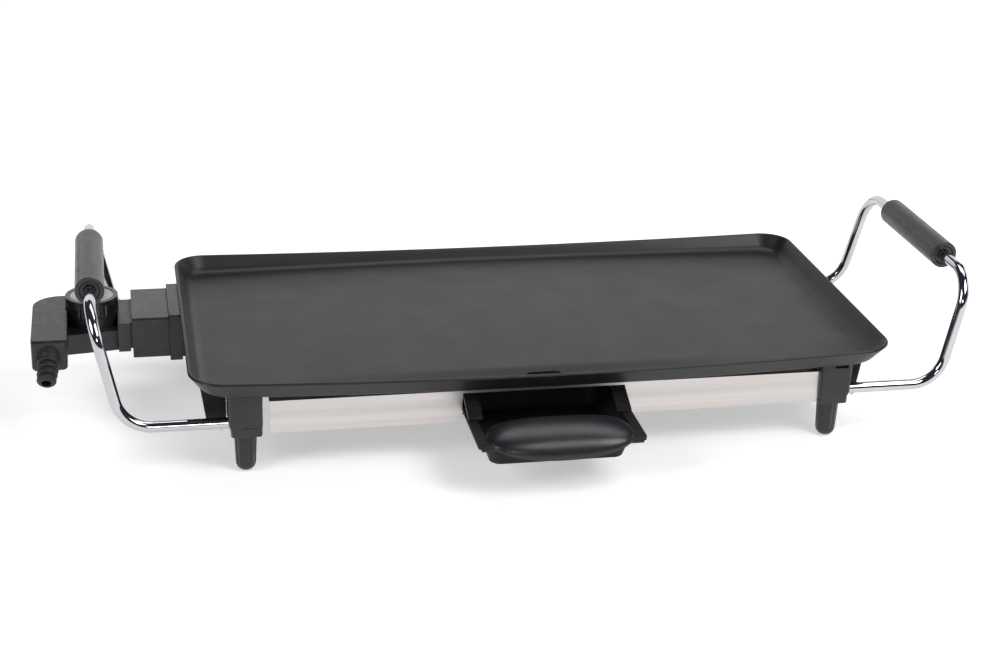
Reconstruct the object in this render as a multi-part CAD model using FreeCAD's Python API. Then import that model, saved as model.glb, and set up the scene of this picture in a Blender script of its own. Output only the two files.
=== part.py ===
import FreeCAD, Part
import math
import os

# Electric griddle: a coated cast plate on four legs, two wire carrying handles, a pull-out
# drip tray and a plug-in thermostat with a control dial. Millimetres, +Z up.
# Everything is placed from the middle of the plate at table height, and moved at the end so
# that the origin is the middle of the object's footprint.

# plate
PLATE_LENGTH = 460.0
PLATE_WIDTH = 232.0
PLATE_CORNER_R = 22.0
SIDE_BOW = 4.5
RIM_HEIGHT = 70.3
RIM_SAG = 3.2
PLATE_DEPTH = 13.0
WALL_FLARE = 7.5
RIM_THICKNESS = 2.6
FLOOR_INSET = 8.8
COOKING_HEIGHT = 59.3
GUTTER_START = -165.0
GUTTER_END = 150.0
GUTTER_WIDTH = 19.0
GUTTER_DEPTH = 1.6
DRAIN_X = -4.0
DRAIN_Y = -100.0
DRAIN_LENGTH = 24.0
DRAIN_WIDTH = 9.0
DRAIN_CUT_LOW = 45.0
DRAIN_CUT_HIGH = 65.0
BOSS_R = 6.0
BOSS_BOTTOM = 51.0
BOSS_TOP = 57.0
TAB_BOSS_R = 5.0
TAB_BOSS_Y = 84.0
TAB_BOSS_LOW = 52.0
RAIL_LEFT = -150.0
RAIL_RIGHT = 160.0
RAIL_HALF = 6.0
RAIL_TOP = 56.5

# legs and feet
LEG_X = 194.9
LEG_Y = 90.75
LEG_INNER_X = 184.4
LEG_OUTER_X = 205.7
LEG_FRONT_Y = 102.5
LEG_BACK_Y = 79.0
LEG_BOTTOM = 26.6
LEG_STEP_LOW = 31.0
LEG_STEP_HIGH = 34.5
LEG_STEP = 1.3
LEG_TOP = 56.0
FOOT_TOP_R = 7.5
FOOT_LOW_R = 6.6
FOOT_TIP_R = 3.2
FOOT_DOME = 4.5
FOOT_FLUTES = 10
STUD_R = 2.0
STUD_LOW = 14.0
STUD_HIGH = 56.0

# wire handles
ROD_R = 3.6
ROD_Y = 94.1
ROD_Z = 33.9
ROD_END_X = 198.6
ROD_CORNER_X = 270.8
GRIP_X = 287.3
GRIP_Z = 107.8
GRIP_CORNER_Y = 89.4
ROD_BEND_R = 23.4
GRIP_R = 9.25
GRIP_HALF = 46.2
PART_GAP = 0.05

# front and rear steel strips
STRIP_Y = 98.2
STRIP_LEFT = -180.0
STRIP_RIGHT = 184.0
STRIP_LOW = 27.0
STRIP_HIGH = 48.7
STRIP_SHEET = 0.8
STRIP_WEB = 1.6
STRIP_TAB_X = 120.0

# end panels
PANEL_TOP_X = 222.6
PANEL_LOW_X = 218.8
PANEL_LOW = 31.0
PANEL_HIGH = 56.4
PANEL_HALF_Y = 80.0
PANEL_SHEET = 1.2
PANEL_SCREW_Y = 71.5

# drip tray and its guide, measured from their own middle line
TRAY_X = -3.0
GUIDE_HALF = 53.4
CHEEK_WIDTH = 9.4
GUIDE_FRONT = -118.0
GUIDE_BACK = -56.0
GUIDE_OUTER = 57.0
GUIDE_LOW = 31.5
GUIDE_WALL_FRONT = -96.5
GUIDE_WALL = 3.0
CHEEK_LOW = 37.3
CHEEK_SHEET = 2.0
SHELF_HALF = 50.2
LUG_X = 50.0
LUG_Y = -76.0
LUG_HALF_X = 5.5
LUG_HALF_Y = 5.0
LUG_TOP = 51.5
LUG_BOSS_R = 4.5
WING_HALF = 53.0
WING_LOW = 34.6
WING_HIGH = 36.8
TRAY_FRONT = -156.0
LIP_HALF = 53.8
LIP_BACK = -100.0
ROLL_R = 2.2
TRAY_BACK = -62.0
SUMP_TOP_HALF = 49.5
SUMP_LOW_HALF = 43.2
SUMP_FRONT = -148.0
SUMP_LOW = 18.0
TRAY_WALL = 1.8
PULL_HALF = 49.4
PULL_FRONT = -163.2
PULL_BACK = -135.0
PULL_LOW = 27.8
PULL_END_LOW = 36.0
PULL_HIGH = 45.2
PULL_WALL = 2.0
PULL_SIDE_Y = -145.0
PULL_PLAN = [(PULL_HALF, PULL_SIDE_Y), (47.4, -151.6), (42.0, -156.4), (30.0, -160.2), (15.0, -162.5)]

# socket for the thermostat, on the left end
SOCKET_Y = 37.6
SOCKET_Z = 50.8
SOCKET_HALF_Y = 28.4
SOCKET_HALF_Z = 14.2
SOCKET_MOUTH_X = -261.6
SOCKET_STEP_X = -237.2
SOCKET_END_X = -229.0
NECK_END_X = -208.0
SOCKET_WALL = 2.6
COLLAR_GROWTH = 2.2
PIN_R = 2.5
PIN_SPREAD = 12.0
PIN_TIP_X = -255.0
BLOCK_X = -232.0
BLOCK_LENGTH = 8.0
CAVITY_HALF_Y = 22.0
CAVITY_LOW = 39.6
CAVITY_HIGH = 54.5
GUIDE_TUBE_R = 3.6
GUIDE_TUBE_END = -160.0
PROBE_R = 3.0
PROBE_TIP = -170.0

# heating element
ELEMENT_R = 3.3
ELEMENT_START_X = -222.0
ELEMENT_TURN_X = 188.0
ELEMENT_BACK_X = -182.0
ELEMENT_STEP_X = -150.0
ELEMENT_BENDS = [14, 26, 30, 30, 14, 14]
ELEMENT_HALF_Y = 62.0
CLIP_X = 110.0

# thermostat body
SLEEVE_R = 3.6
HOUSE_RIGHT = -263.0
HOUSE_LEFT = -304.0
HOUSE_LOW = 39.5
HOUSE_HIGH = 53.5
HOUSE_FRONT_RIGHT = 17.6
HOUSE_FRONT_LEFT = 24.6
HOUSE_REAR = 18.0
HOUSE_WALL = 1.8
HOUSE_SPLIT = 46.5
FLANGE_LEFT = -271.0
FLANGE_HALF = 24.4
FLANGE_LOW = 40.3
FLANGE_HIGH = 60.7
NOSE_END_X = -243.0
NOSE_HALF_Y = 23.0
NOSE_LOW = 41.5
NOSE_HIGH = 60.0
TAIL_LEFT = -326.8
TAIL_RIGHT = -304.0
TAIL_FRONT = -22.5
TAIL_BACK = 58.0
TAIL_LOW = 44.0
TAIL_HIGH = 65.0
TAIL_SPLIT = 54.5
DIAL_X = -287.5
DIAL_R = 17.5
DIAL_LOW = 62.0
DIAL_HIGH = 73.2
DIAL_FLUTES = 30
FACE_R = 14.8
PEDESTAL_R = 16.6
SHAFT_R = 3.0
RUNNING_GAP = 0.08

# strain relief on the thermostat's tail
RELIEF_X = -315.6
RELIEF_Z = 54.6
RELIEF_LENGTH = 21.6
RELIEF_ROOT_R = 6.6
RELIEF_TIP_R = 5.2
RELIEF_BORE_R = 3.3
RELIEF_DROP_DEG = 30.0
RELIEF_TURN_DEG = 6.0

X_AXIS = FreeCAD.Vector(1, 0, 0)
Y_AXIS = FreeCAD.Vector(0, 1, 0)
Z_AXIS = FreeCAD.Vector(0, 0, 1)
HOME = FreeCAD.Vector(0, 0, 0)


def vec(x, y, z):
    return FreeCAD.Vector(x, y, z)


def box(x0, x1, y0, y1, z0, z1):
    return Part.makeBox(x1 - x0, y1 - y0, z1 - z0, vec(x0, y0, z0))


def rod(radius, start, end):
    along = end - start
    return Part.makeCylinder(radius, along.Length, start, along)


def tube(outer, inner, start, end):
    return rod(outer, start, end).cut(rod(inner, start, end))


def joined(shapes):
    whole = shapes[0].multiFuse(shapes[1:]) if len(shapes) > 1 else shapes[0]
    return whole.removeSplitter()


def without(shape, tools):
    for tool in tools:
        shape = shape.cut(tool)
    return shape


def side_mirror(shape):
    return shape.mirror(HOME, X_AXIS)


def end_mirror(shape):
    return shape.mirror(HOME, Y_AXIS)


def prism(points, direction):
    wire = Part.makePolygon(points + [points[0]])
    return Part.Face(wire).extrude(direction)


def prism_along_y(outline, y0, y1):
    return prism([vec(x, y0, z) for x, z in outline], vec(0, y1 - y0, 0))


def prism_along_x(outline, x0, x1):
    return prism([vec(x0, y, z) for y, z in outline], vec(x1 - x0, 0, 0))


def rounded_outline(half_x, half_y, radius, z, bow=0.0):
    """Rectangle with round corners; its long sides bow outwards by bow."""
    flat_x = half_x - radius
    flat_y = half_y - radius
    slant = radius * (1 - math.sqrt(0.5))
    edges = []
    for sx, sy in ((1, -1), (1, 1), (-1, 1), (-1, -1)):
        on_long = vec(sx * flat_x, sy * half_y, z)
        on_short = vec(sx * half_x, sy * flat_y, z)
        middle = vec(sx * (half_x - slant), sy * (half_y - slant), z)
        first, last = (on_long, on_short) if sx * sy < 0 else (on_short, on_long)
        if sy > 0:
            previous = vec(sx * half_x, -flat_y, z) if sx > 0 else vec(flat_x, half_y, z)
        else:
            previous = vec(-half_x, flat_y, z) if sx < 0 else vec(-flat_x, -half_y, z)
        along_long = sx * sy < 0
        if along_long and bow:
            peak = vec(0, sy * (half_y + bow), z)
            edges.append(Part.Arc(previous, peak, first).toShape())
        else:
            edges.append(Part.LineSegment(previous, first).toShape())
        edges.append(Part.Arc(first, middle, last).toShape())
    return Part.Wire(edges)


def tapered_block(low, high):
    return Part.makeLoft([low, high], True, True)


def bent_path(points, radii):
    """Straight runs through points, joined by tangent arcs of the given radii."""
    edges = []
    here = points[0]
    for before, corner, after, radius in zip(points, points[1:], points[2:], radii):
        back = (before - corner).normalize()
        onward = (after - corner).normalize()
        half_turn = (math.pi - back.getAngle(onward)) / 2
        setback = radius * math.tan(half_turn)
        start = corner + back * setback
        end = corner + onward * setback
        inward = (back + onward).normalize()
        middle = corner + inward * (radius / math.cos(half_turn) - radius)
        edges.append(Part.LineSegment(here, start).toShape())
        edges.append(Part.Arc(start, middle, end).toShape())
        here = end
    edges.append(Part.LineSegment(here, points[-1]).toShape())
    return Part.Wire(edges)


def swept_rod(path, radius, start, along):
    ring = Part.Wire(Part.makeCircle(radius, start, along))
    return path.makePipeShell([ring], True, False)


def screw(head, along, head_r, shank_r, head_length, shank_length):
    """Pan-head screw with a cross recess; head is the top of its head."""
    under_head = head + along * head_length
    body = joined([
        rod(head_r, head, under_head),
        rod(shank_r, under_head, under_head + along * shank_length),
    ])
    width = head_r * 0.26
    reach = head_r * 0.62
    across = X_AXIS if abs(along.x) < 0.5 else Y_AXIS
    for turn in (0, 90):
        slot = Part.makeBox(2 * reach, width, head_length * 0.6, vec(-reach, -width / 2, 0))
        slot.Placement = FreeCAD.Placement(
            head, FreeCAD.Rotation(across, along.cross(across), along, "XZY")
        ).multiply(FreeCAD.Placement(HOME, FreeCAD.Rotation(Z_AXIS, turn)))
        body = body.cut(slot)
    return body


# ---- plate ----

SAG_R = (PLATE_LENGTH / 2) ** 2 / (2 * RIM_SAG)
RIM_MIDDLE = RIM_HEIGHT - RIM_SAG
UNDERSIDE_MIDDLE = RIM_MIDDLE - PLATE_DEPTH


def above_sag(height_at_middle):
    """Everything above a long shallow arc that hangs to the given height at the middle."""
    reach = PLATE_LENGTH / 2 + 10
    ceiling = RIM_HEIGHT + 20
    end_height = height_at_middle + reach * reach / (2 * SAG_R)
    front = -PLATE_WIDTH / 2 - 10
    left = vec(-reach, front, end_height)
    right = vec(reach, front, end_height)
    profile = Part.Wire([
        Part.Arc(left, vec(0, front, height_at_middle), right).toShape(),
        Part.LineSegment(right, vec(reach, front, ceiling)).toShape(),
        Part.LineSegment(vec(reach, front, ceiling), vec(-reach, front, ceiling)).toShape(),
        Part.LineSegment(vec(-reach, front, ceiling), left).toShape(),
    ])
    return Part.Face(profile).extrude(vec(0, PLATE_WIDTH + 20, 0))


def leg_places():
    return [(sx * LEG_X, sy * LEG_Y) for sx in (-1, 1) for sy in (-1, 1)]


def plate_outline(inset, z):
    half_x = PLATE_LENGTH / 2 - inset
    half_y = PLATE_WIDTH / 2 - inset
    return rounded_outline(half_x, half_y, PLATE_CORNER_R - inset * 0.7, z, SIDE_BOW)


def make_plate(element_tube):
    low = RIM_HEIGHT - PLATE_DEPTH - RIM_SAG
    flare_per_mm = WALL_FLARE / PLATE_DEPTH
    top = RIM_HEIGHT + 2.0
    outer = tapered_block(
        plate_outline(WALL_FLARE + RIM_SAG * flare_per_mm, low),
        plate_outline(-2.0 * flare_per_mm, top),
    )
    outer = outer.cut(above_sag(RIM_MIDDLE))
    outer = outer.common(above_sag(UNDERSIDE_MIDDLE))
    inner_slope = (FLOOR_INSET - RIM_THICKNESS) / (RIM_HEIGHT - COOKING_HEIGHT)
    pocket = tapered_block(
        plate_outline(FLOOR_INSET, COOKING_HEIGHT),
        plate_outline(RIM_THICKNESS - 2.0 * inner_slope, top),
    )
    plate = outer.cut(pocket)

    bosses = [rod(BOSS_R, vec(x, y, BOSS_BOTTOM), vec(x, y, BOSS_TOP)) for x, y in leg_places()]
    for sx in (-1, 1):
        for sy in (-1, 1):
            tab = vec(sx * STRIP_TAB_X, sy * TAB_BOSS_Y, TAB_BOSS_LOW)
            bosses.append(rod(TAB_BOSS_R, tab, vec(tab.x, tab.y, BOSS_TOP)))
        lug = vec(TRAY_X + sx * LUG_X, LUG_Y, LUG_TOP)
        bosses.append(rod(LUG_BOSS_R, lug, vec(lug.x, lug.y, BOSS_TOP)))
    rails = []
    for sy in (-1, 1):
        y = sy * ELEMENT_HALF_Y
        rails.append(box(RAIL_LEFT, RAIL_RIGHT, y - RAIL_HALF, y + RAIL_HALF, SOCKET_Z, RAIL_TOP))
    plate = joined([plate] + bosses + rails)
    return without(plate, [gutter_room(), drain_room(), element_tube])


def gutter_room():
    """Wide shallow dip along the front; it falls forwards and towards the drain from both ends."""
    front = -(PLATE_WIDTH / 2 - FLOOR_INSET) - 1.0
    back = front + GUTTER_WIDTH
    low = COOKING_HEIGHT - GUTTER_DEPTH
    high = COOKING_HEIGHT + 1
    lengthways = prism_along_y(
        [
            (GUTTER_START, COOKING_HEIGHT),
            (DRAIN_X, low),
            (GUTTER_END, COOKING_HEIGHT),
            (GUTTER_END, high),
            (GUTTER_START, high),
        ],
        front, back,
    )
    crossways = prism_along_x(
        [(front, low), (front + 9.0, low), (back, COOKING_HEIGHT), (back, high), (front, high)],
        GUTTER_START, GUTTER_END,
    )
    inside_walls = tapered_block(
        plate_outline(FLOOR_INSET + 1.5, COOKING_HEIGHT - 5),
        plate_outline(FLOOR_INSET, COOKING_HEIGHT + 5),
    )
    return lengthways.common(crossways).common(inside_walls)


def drain_room():
    radius = DRAIN_WIDTH / 2
    left = DRAIN_X - DRAIN_LENGTH / 2 + radius
    right = DRAIN_X + DRAIN_LENGTH / 2 - radius
    ends = [
        rod(radius, vec(x, DRAIN_Y, DRAIN_CUT_LOW), vec(x, DRAIN_Y, DRAIN_CUT_HIGH)) for x in (left, right)
    ]
    middle = box(left, right, DRAIN_Y - radius, DRAIN_Y + radius, DRAIN_CUT_LOW, DRAIN_CUT_HIGH)
    return joined([middle] + ends)


# ---- heating element ----

def element_path():
    near = SOCKET_Y - PIN_SPREAD
    far = SOCKET_Y + PIN_SPREAD
    half = ELEMENT_HALF_Y
    points = [
        vec(ELEMENT_START_X, near, SOCKET_Z),
        vec(ELEMENT_BACK_X, near, SOCKET_Z),
        vec(ELEMENT_BACK_X, -half, SOCKET_Z),
        vec(ELEMENT_TURN_X, -half, SOCKET_Z),
        vec(ELEMENT_TURN_X, half, SOCKET_Z),
        vec(ELEMENT_STEP_X, half, SOCKET_Z),
        vec(ELEMENT_STEP_X - 22, far, SOCKET_Z),
        vec(ELEMENT_START_X, far, SOCKET_Z),
    ]
    return bent_path(points, ELEMENT_BENDS), points[0]


def make_element(radius):
    path, start = element_path()
    return swept_rod(path, radius, start, X_AXIS)


def make_element_clips():
    """Small straps screwed under the plate's rails, holding the element up in its groove."""
    straps = []
    screws = []
    for x in (-CLIP_X, CLIP_X):
        for sy in (-1, 1):
            y = sy * ELEMENT_HALF_Y
            strap = joined([
                box(x - 5, x + 5, y - 12, y + 12, SOCKET_Z - 1.2, SOCKET_Z),
                box(x - 5, x + 5, y - 6, y + 6, SOCKET_Z - 4.7, SOCKET_Z),
            ])
            strap = strap.cut(rod(ELEMENT_R, vec(x - 6, y, SOCKET_Z), vec(x + 6, y, SOCKET_Z)))
            mouth = box(x - 6, x + 6, y - ELEMENT_R, y + ELEMENT_R, SOCKET_Z - 0.01, SOCKET_Z + 1)
            strap = strap.cut(mouth)
            straps.append(strap)
            inner = y - sy * 9
            screws.append(screw(vec(x, inner, SOCKET_Z - 3.0), Z_AXIS, 2.8, 1.4, 1.8, 5.0))
    lug_y = ELEMENT_HALF_Y - 9
    lugs = [rod(4.0, vec(x, sy * lug_y, SOCKET_Z), vec(x, sy * lug_y, BOSS_TOP))
            for x in (-CLIP_X, CLIP_X) for sy in (-1, 1)]
    return straps, screws, lugs


# ---- legs, feet, handles ----

def leg_outline(z, step, radius):
    """Front left leg's section; the two front corners are round."""
    left = -LEG_OUTER_X + step * LEG_STEP
    right = -LEG_INNER_X - step * 0.3
    front = -LEG_FRONT_Y + step * 0.3
    back = -LEG_BACK_Y - step * 0.3
    slant = radius * (1 - math.sqrt(0.5))
    return Part.Wire([
        Part.LineSegment(vec(left + radius, front, z), vec(right - radius, front, z)).toShape(),
        Part.Arc(
            vec(right - radius, front, z),
            vec(right - slant, front + slant, z),
            vec(right, front + radius, z),
        ).toShape(),
        Part.LineSegment(vec(right, front + radius, z), vec(right, back, z)).toShape(),
        Part.LineSegment(vec(right, back, z), vec(left, back, z)).toShape(),
        Part.LineSegment(vec(left, back, z), vec(left, front + radius, z)).toShape(),
        Part.Arc(
            vec(left, front + radius, z),
            vec(left + slant, front + slant, z),
            vec(left + radius, front, z),
        ).toShape(),
    ])


def make_leg():
    """Front left leg; the others are its mirror images."""
    upper = Part.Face(leg_outline(LEG_STEP_HIGH, 0, 2.6)).extrude(vec(0, 0, LEG_TOP - LEG_STEP_HIGH))
    slant = tapered_block(leg_outline(LEG_STEP_LOW, 1, 2.6), leg_outline(LEG_STEP_HIGH, 0, 2.6))
    lower = Part.Face(leg_outline(LEG_BOTTOM, 1, 2.6)).extrude(vec(0, 0, LEG_STEP_LOW - LEG_BOTTOM))
    leg = joined([upper, slant, lower])
    parting = box(-LEG_OUTER_X + 4, -LEG_INNER_X - 4, -LEG_FRONT_Y - 1, -LEG_FRONT_Y + 0.7, 32.2, 32.8)
    bore = rod(ROD_R + PART_GAP, vec(-LEG_OUTER_X - 2, -ROD_Y, ROD_Z), vec(-ROD_END_X, -ROD_Y, ROD_Z))
    spigot = rod(5.0, vec(-LEG_X, -LEG_Y, LEG_BOTTOM - 1), vec(-LEG_X, -LEG_Y, 29.6))
    stud = rod(STUD_R, vec(-LEG_X, -LEG_Y, 20), vec(-LEG_X, -LEG_Y, LEG_TOP + 1))
    boss = rod(BOSS_R, vec(-LEG_X, -LEG_Y, BOSS_BOTTOM), vec(-LEG_X, -LEG_Y, LEG_TOP + 2))
    return without(leg, [parting, bore, spigot, stud, boss])


def latch_slot():
    return box(LEG_X - 1.5, LEG_X + 7.5, -LEG_FRONT_Y - 1, -LEG_FRONT_Y + 2, 52.4, 54.8)


def make_foot(x, y):
    dome_side = math.hypot(FOOT_LOW_R, FOOT_DOME) * 0.86
    profile = Part.Wire([
        Part.LineSegment(vec(0, 0, 0), vec(FOOT_TIP_R, 0, 0)).toShape(),
        Part.Arc(
            vec(FOOT_TIP_R, 0, 0),
            vec(dome_side * 0.88, 0, FOOT_DOME * 0.4),
            vec(FOOT_LOW_R, 0, FOOT_DOME),
        ).toShape(),
        Part.LineSegment(vec(FOOT_LOW_R, 0, FOOT_DOME), vec(FOOT_TOP_R, 0, LEG_BOTTOM)).toShape(),
        Part.LineSegment(vec(FOOT_TOP_R, 0, LEG_BOTTOM), vec(5.0, 0, LEG_BOTTOM)).toShape(),
        Part.LineSegment(vec(5.0, 0, LEG_BOTTOM), vec(5.0, 0, 29.6)).toShape(),
        Part.LineSegment(vec(5.0, 0, 29.6), vec(0, 0, 29.6)).toShape(),
        Part.LineSegment(vec(0, 0, 29.6), vec(0, 0, 0)).toShape(),
    ])
    foot = Part.Face(profile).revolve(HOME, Z_AXIS, 360)
    for step in range(FOOT_FLUTES):
        angle = 2 * math.pi * step / FOOT_FLUTES
        low = vec(math.cos(angle) * 8.6, math.sin(angle) * 8.6, FOOT_DOME + 1.5)
        high = vec(math.cos(angle) * 9.2, math.sin(angle) * 9.2, LEG_BOTTOM - 2.0)
        foot = foot.cut(rod(2.3, low, high))
    foot = foot.cut(rod(STUD_R, vec(0, 0, STUD_LOW), vec(0, 0, 40)))
    foot.translate(vec(x, y, 0))
    return foot


def make_handle_rod():
    """Right-hand handle wire, from the front leg round the grip to the rear leg."""
    points = [
        vec(ROD_END_X, -ROD_Y, ROD_Z),
        vec(ROD_CORNER_X, -ROD_Y, ROD_Z),
        vec(GRIP_X, -GRIP_CORNER_Y, GRIP_Z),
        vec(GRIP_X, GRIP_CORNER_Y, GRIP_Z),
        vec(ROD_CORNER_X, ROD_Y, ROD_Z),
        vec(ROD_END_X, ROD_Y, ROD_Z),
    ]
    wire = swept_rod(bent_path(points, [ROD_BEND_R] * 4), ROD_R, points[0], X_AXIS)
    stops = [
        box(LEG_OUTER_X + 3.5, LEG_OUTER_X + 5.5, sy * ROD_Y - 1.2, sy * ROD_Y + 1.2, ROD_Z - 4.7, ROD_Z)
        for sy in (-1, 1)
    ]
    return joined([wire] + stops)


def make_grip():
    grip = tube(
        GRIP_R, ROD_R + PART_GAP,
        vec(GRIP_X, -GRIP_HALF, GRIP_Z), vec(GRIP_X, GRIP_HALF, GRIP_Z),
    )
    ends = [edge for edge in grip.Edges if edge.BoundBox.XLength > 2 * GRIP_R - 0.1]
    return grip.makeFillet(1.3, [edge for edge in ends if len(edge.Vertexes) == 1])


# ---- strips and end panels ----

def strip_shell(left, right):
    """Front strip: face, folded top and bottom hems and two screw tabs."""
    back = -STRIP_Y + STRIP_SHEET
    face = box(left, right, -STRIP_Y, back, STRIP_LOW, STRIP_HIGH)
    top_hem = box(left, right, -STRIP_Y, -STRIP_Y + 8, STRIP_HIGH - STRIP_SHEET, STRIP_HIGH)
    low_hem = box(left, right, -STRIP_Y, -STRIP_Y + 3, STRIP_LOW, STRIP_LOW + STRIP_SHEET)
    pieces = [face, top_hem, low_hem]
    for x in (-STRIP_TAB_X, STRIP_TAB_X):
        riser = -STRIP_Y + 8
        pieces.append(box(x - 8, x + 8, riser - STRIP_SHEET, riser, STRIP_HIGH - STRIP_SHEET, 52.0))
        pieces.append(box(x - 8, x + 8, riser - STRIP_SHEET, -77, 52.0 - STRIP_SHEET, 52.0))
    return joined(pieces)


def make_front_strip():
    strip = strip_shell(STRIP_LEFT, STRIP_RIGHT)
    notch_half = GUIDE_HALF + 0.2
    notch = box(
        TRAY_X - notch_half, TRAY_X + notch_half, -STRIP_Y - 1, -STRIP_Y + 9,
        STRIP_LOW - 1, STRIP_HIGH - STRIP_WEB,
    )
    return strip.cut(notch)


def make_rear_strip():
    return end_mirror(strip_shell(-STRIP_RIGHT, STRIP_RIGHT))


def strip_screws():
    screws = []
    for x in (-STRIP_TAB_X, STRIP_TAB_X):
        for sy in (-1, 1):
            screws.append(screw(vec(x, sy * 84, 52.0 - STRIP_SHEET - 1.8), Z_AXIS, 3.2, 1.5, 1.8, 5.4))
    return screws


def make_end_panel():
    """Left end panel: sloping sheet between the legs, folded in at both ends and at the top."""
    sheet = PANEL_SHEET
    face = prism_along_y(
        [
            (-PANEL_TOP_X, PANEL_HIGH),
            (-PANEL_TOP_X + 14, PANEL_HIGH),
            (-PANEL_TOP_X + 14, PANEL_HIGH - sheet),
            (-PANEL_TOP_X + sheet, PANEL_HIGH - sheet),
            (-PANEL_LOW_X + sheet, PANEL_LOW),
            (-PANEL_LOW_X, PANEL_LOW),
        ],
        -PANEL_HALF_Y, PANEL_HALF_Y,
    )
    ends = [
        prism_along_y(
            [
                (-LEG_OUTER_X - 0.2, PANEL_HIGH),
                (-PANEL_TOP_X, PANEL_HIGH),
                (-PANEL_LOW_X, PANEL_LOW),
                (-LEG_OUTER_X - 0.2, PANEL_LOW),
            ],
            y0, y0 + sheet,
        )
        for y0 in (-PANEL_HALF_Y, PANEL_HALF_Y - sheet)
    ]
    return joined([face] + ends)


def panel_screws():
    x = PANEL_TOP_X - 9
    return [
        screw(vec(sx * x, sy * PANEL_SCREW_Y, PANEL_HIGH - PANEL_SHEET - 1.6), Z_AXIS, 2.8, 1.3, 1.6, 3.2)
        for sx in (-1, 1) for sy in (-1, 1)
    ]


# ---- drip tray ----

def make_tray_guide():
    """Fixed holder under the plate: two sloping cheeks and two rails that carry the tray."""
    cheek_top = STRIP_HIGH - STRIP_WEB - 0.3
    behind_strip = -STRIP_Y - 0.3

    def sides(side, near, far):
        return min(side * near, side * far), max(side * near, side * far)

    pieces = []
    for side in (-1, 1):
        cheek_x = sides(side, GUIDE_HALF - CHEEK_WIDTH, GUIDE_HALF)
        cheek = prism_along_x(
            [
                (GUIDE_FRONT, CHEEK_LOW),
                (GUIDE_FRONT, CHEEK_LOW + 1.0),
                (behind_strip, cheek_top),
                (GUIDE_BACK, cheek_top),
                (GUIDE_BACK, cheek_top - CHEEK_SHEET),
                (behind_strip + 0.6, cheek_top - CHEEK_SHEET),
                (GUIDE_FRONT + 3.0, CHEEK_LOW),
            ],
            *cheek_x,
        )
        wall_x = sides(side, GUIDE_HALF, GUIDE_OUTER)
        wall = box(*wall_x, GUIDE_WALL_FRONT, GUIDE_BACK, GUIDE_LOW, cheek_top)
        shelf_x = sides(side, SHELF_HALF, GUIDE_OUTER)
        shelf = box(*shelf_x, GUIDE_WALL_FRONT, GUIDE_BACK, GUIDE_LOW, WING_LOW - 0.35)
        lug_x = sides(side, LUG_X - LUG_HALF_X, LUG_X + LUG_HALF_X)
        lug = box(*lug_x, LUG_Y - LUG_HALF_Y, LUG_Y + LUG_HALF_Y, cheek_top - 1, LUG_TOP)
        pieces += [cheek, wall, shelf, lug]
    pieces.append(box(-GUIDE_OUTER, GUIDE_OUTER, GUIDE_BACK, GUIDE_BACK + GUIDE_WALL, GUIDE_LOW, cheek_top))
    guide = joined(pieces)
    guide.translate(vec(TRAY_X, 0, 0))
    return guide


def guide_screws():
    return [
        screw(vec(TRAY_X + side * LUG_X, LUG_Y, 40.0), Z_AXIS, 2.8, 1.4, 1.8, 14.0)
        for side in (-1, 1)
    ]


def sump_block(inset, low):
    """Tapered sump of the tray, smaller towards the bottom."""
    middle_top = (SUMP_FRONT - 1 + TRAY_BACK + 2) / 2
    half_y_top = (TRAY_BACK - 2 - SUMP_FRONT + 1) / 2
    top_wire = rounded_outline(SUMP_TOP_HALF - inset, half_y_top - inset, 8.0, WING_HIGH + 1)
    low_wire = rounded_outline(SUMP_LOW_HALF - inset, half_y_top - 3.5 - inset, 7.0, low)
    block = tapered_block(low_wire, top_wire)
    block.translate(vec(0, middle_top, 0))
    return block


def make_drip_tray():
    above = box(-80, 80, -200, 0, WING_HIGH, WING_HIGH + 10)
    shell = sump_block(0, SUMP_LOW).cut(above)
    lip = box(-LIP_HALF, LIP_HALF, TRAY_FRONT, LIP_BACK, WING_LOW, WING_HIGH)
    corners = [
        edge for edge in lip.Edges
        if abs(edge.tangentAt(edge.FirstParameter).z) > 0.9 and edge.CenterOfMass.y < TRAY_FRONT + 1
    ]
    lip = lip.makeFillet(3.0, corners)
    rim = box(-WING_HALF, WING_HALF, LIP_BACK, TRAY_BACK, WING_LOW, WING_HIGH)
    roll_end = LIP_HALF - ROLL_R
    roll_y = TRAY_FRONT + ROLL_R
    roll = rod(ROLL_R, vec(-roll_end, roll_y, WING_LOW), vec(roll_end, roll_y, WING_LOW))
    tray = joined([shell, rim, lip, roll])
    tray = tray.cut(sump_block(TRAY_WALL, SUMP_LOW + TRAY_WALL))
    tray.translate(vec(TRAY_X, 0, 0))
    return tray


def pull_block():
    """Pull seen from above: square at the back, swelling forwards in front."""
    bottom = PULL_LOW - 2.0
    points = [vec(x, y, bottom) for x, y in PULL_PLAN]
    points.append(vec(0, PULL_FRONT, bottom))
    points += [vec(-x, y, bottom) for x, y in reversed(PULL_PLAN)]
    swell = Part.BSplineCurve()
    swell.interpolate(points)
    corner_right = vec(PULL_HALF, PULL_BACK, bottom)
    corner_left = vec(-PULL_HALF, PULL_BACK, bottom)
    plan = Part.Wire([
        Part.LineSegment(corner_left, corner_right).toShape(),
        Part.LineSegment(corner_right, points[0]).toShape(),
        swell.toShape(),
        Part.LineSegment(points[-1], corner_left).toShape(),
    ])
    return Part.Face(plan).extrude(vec(0, 0, PULL_HIGH - bottom))


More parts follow.
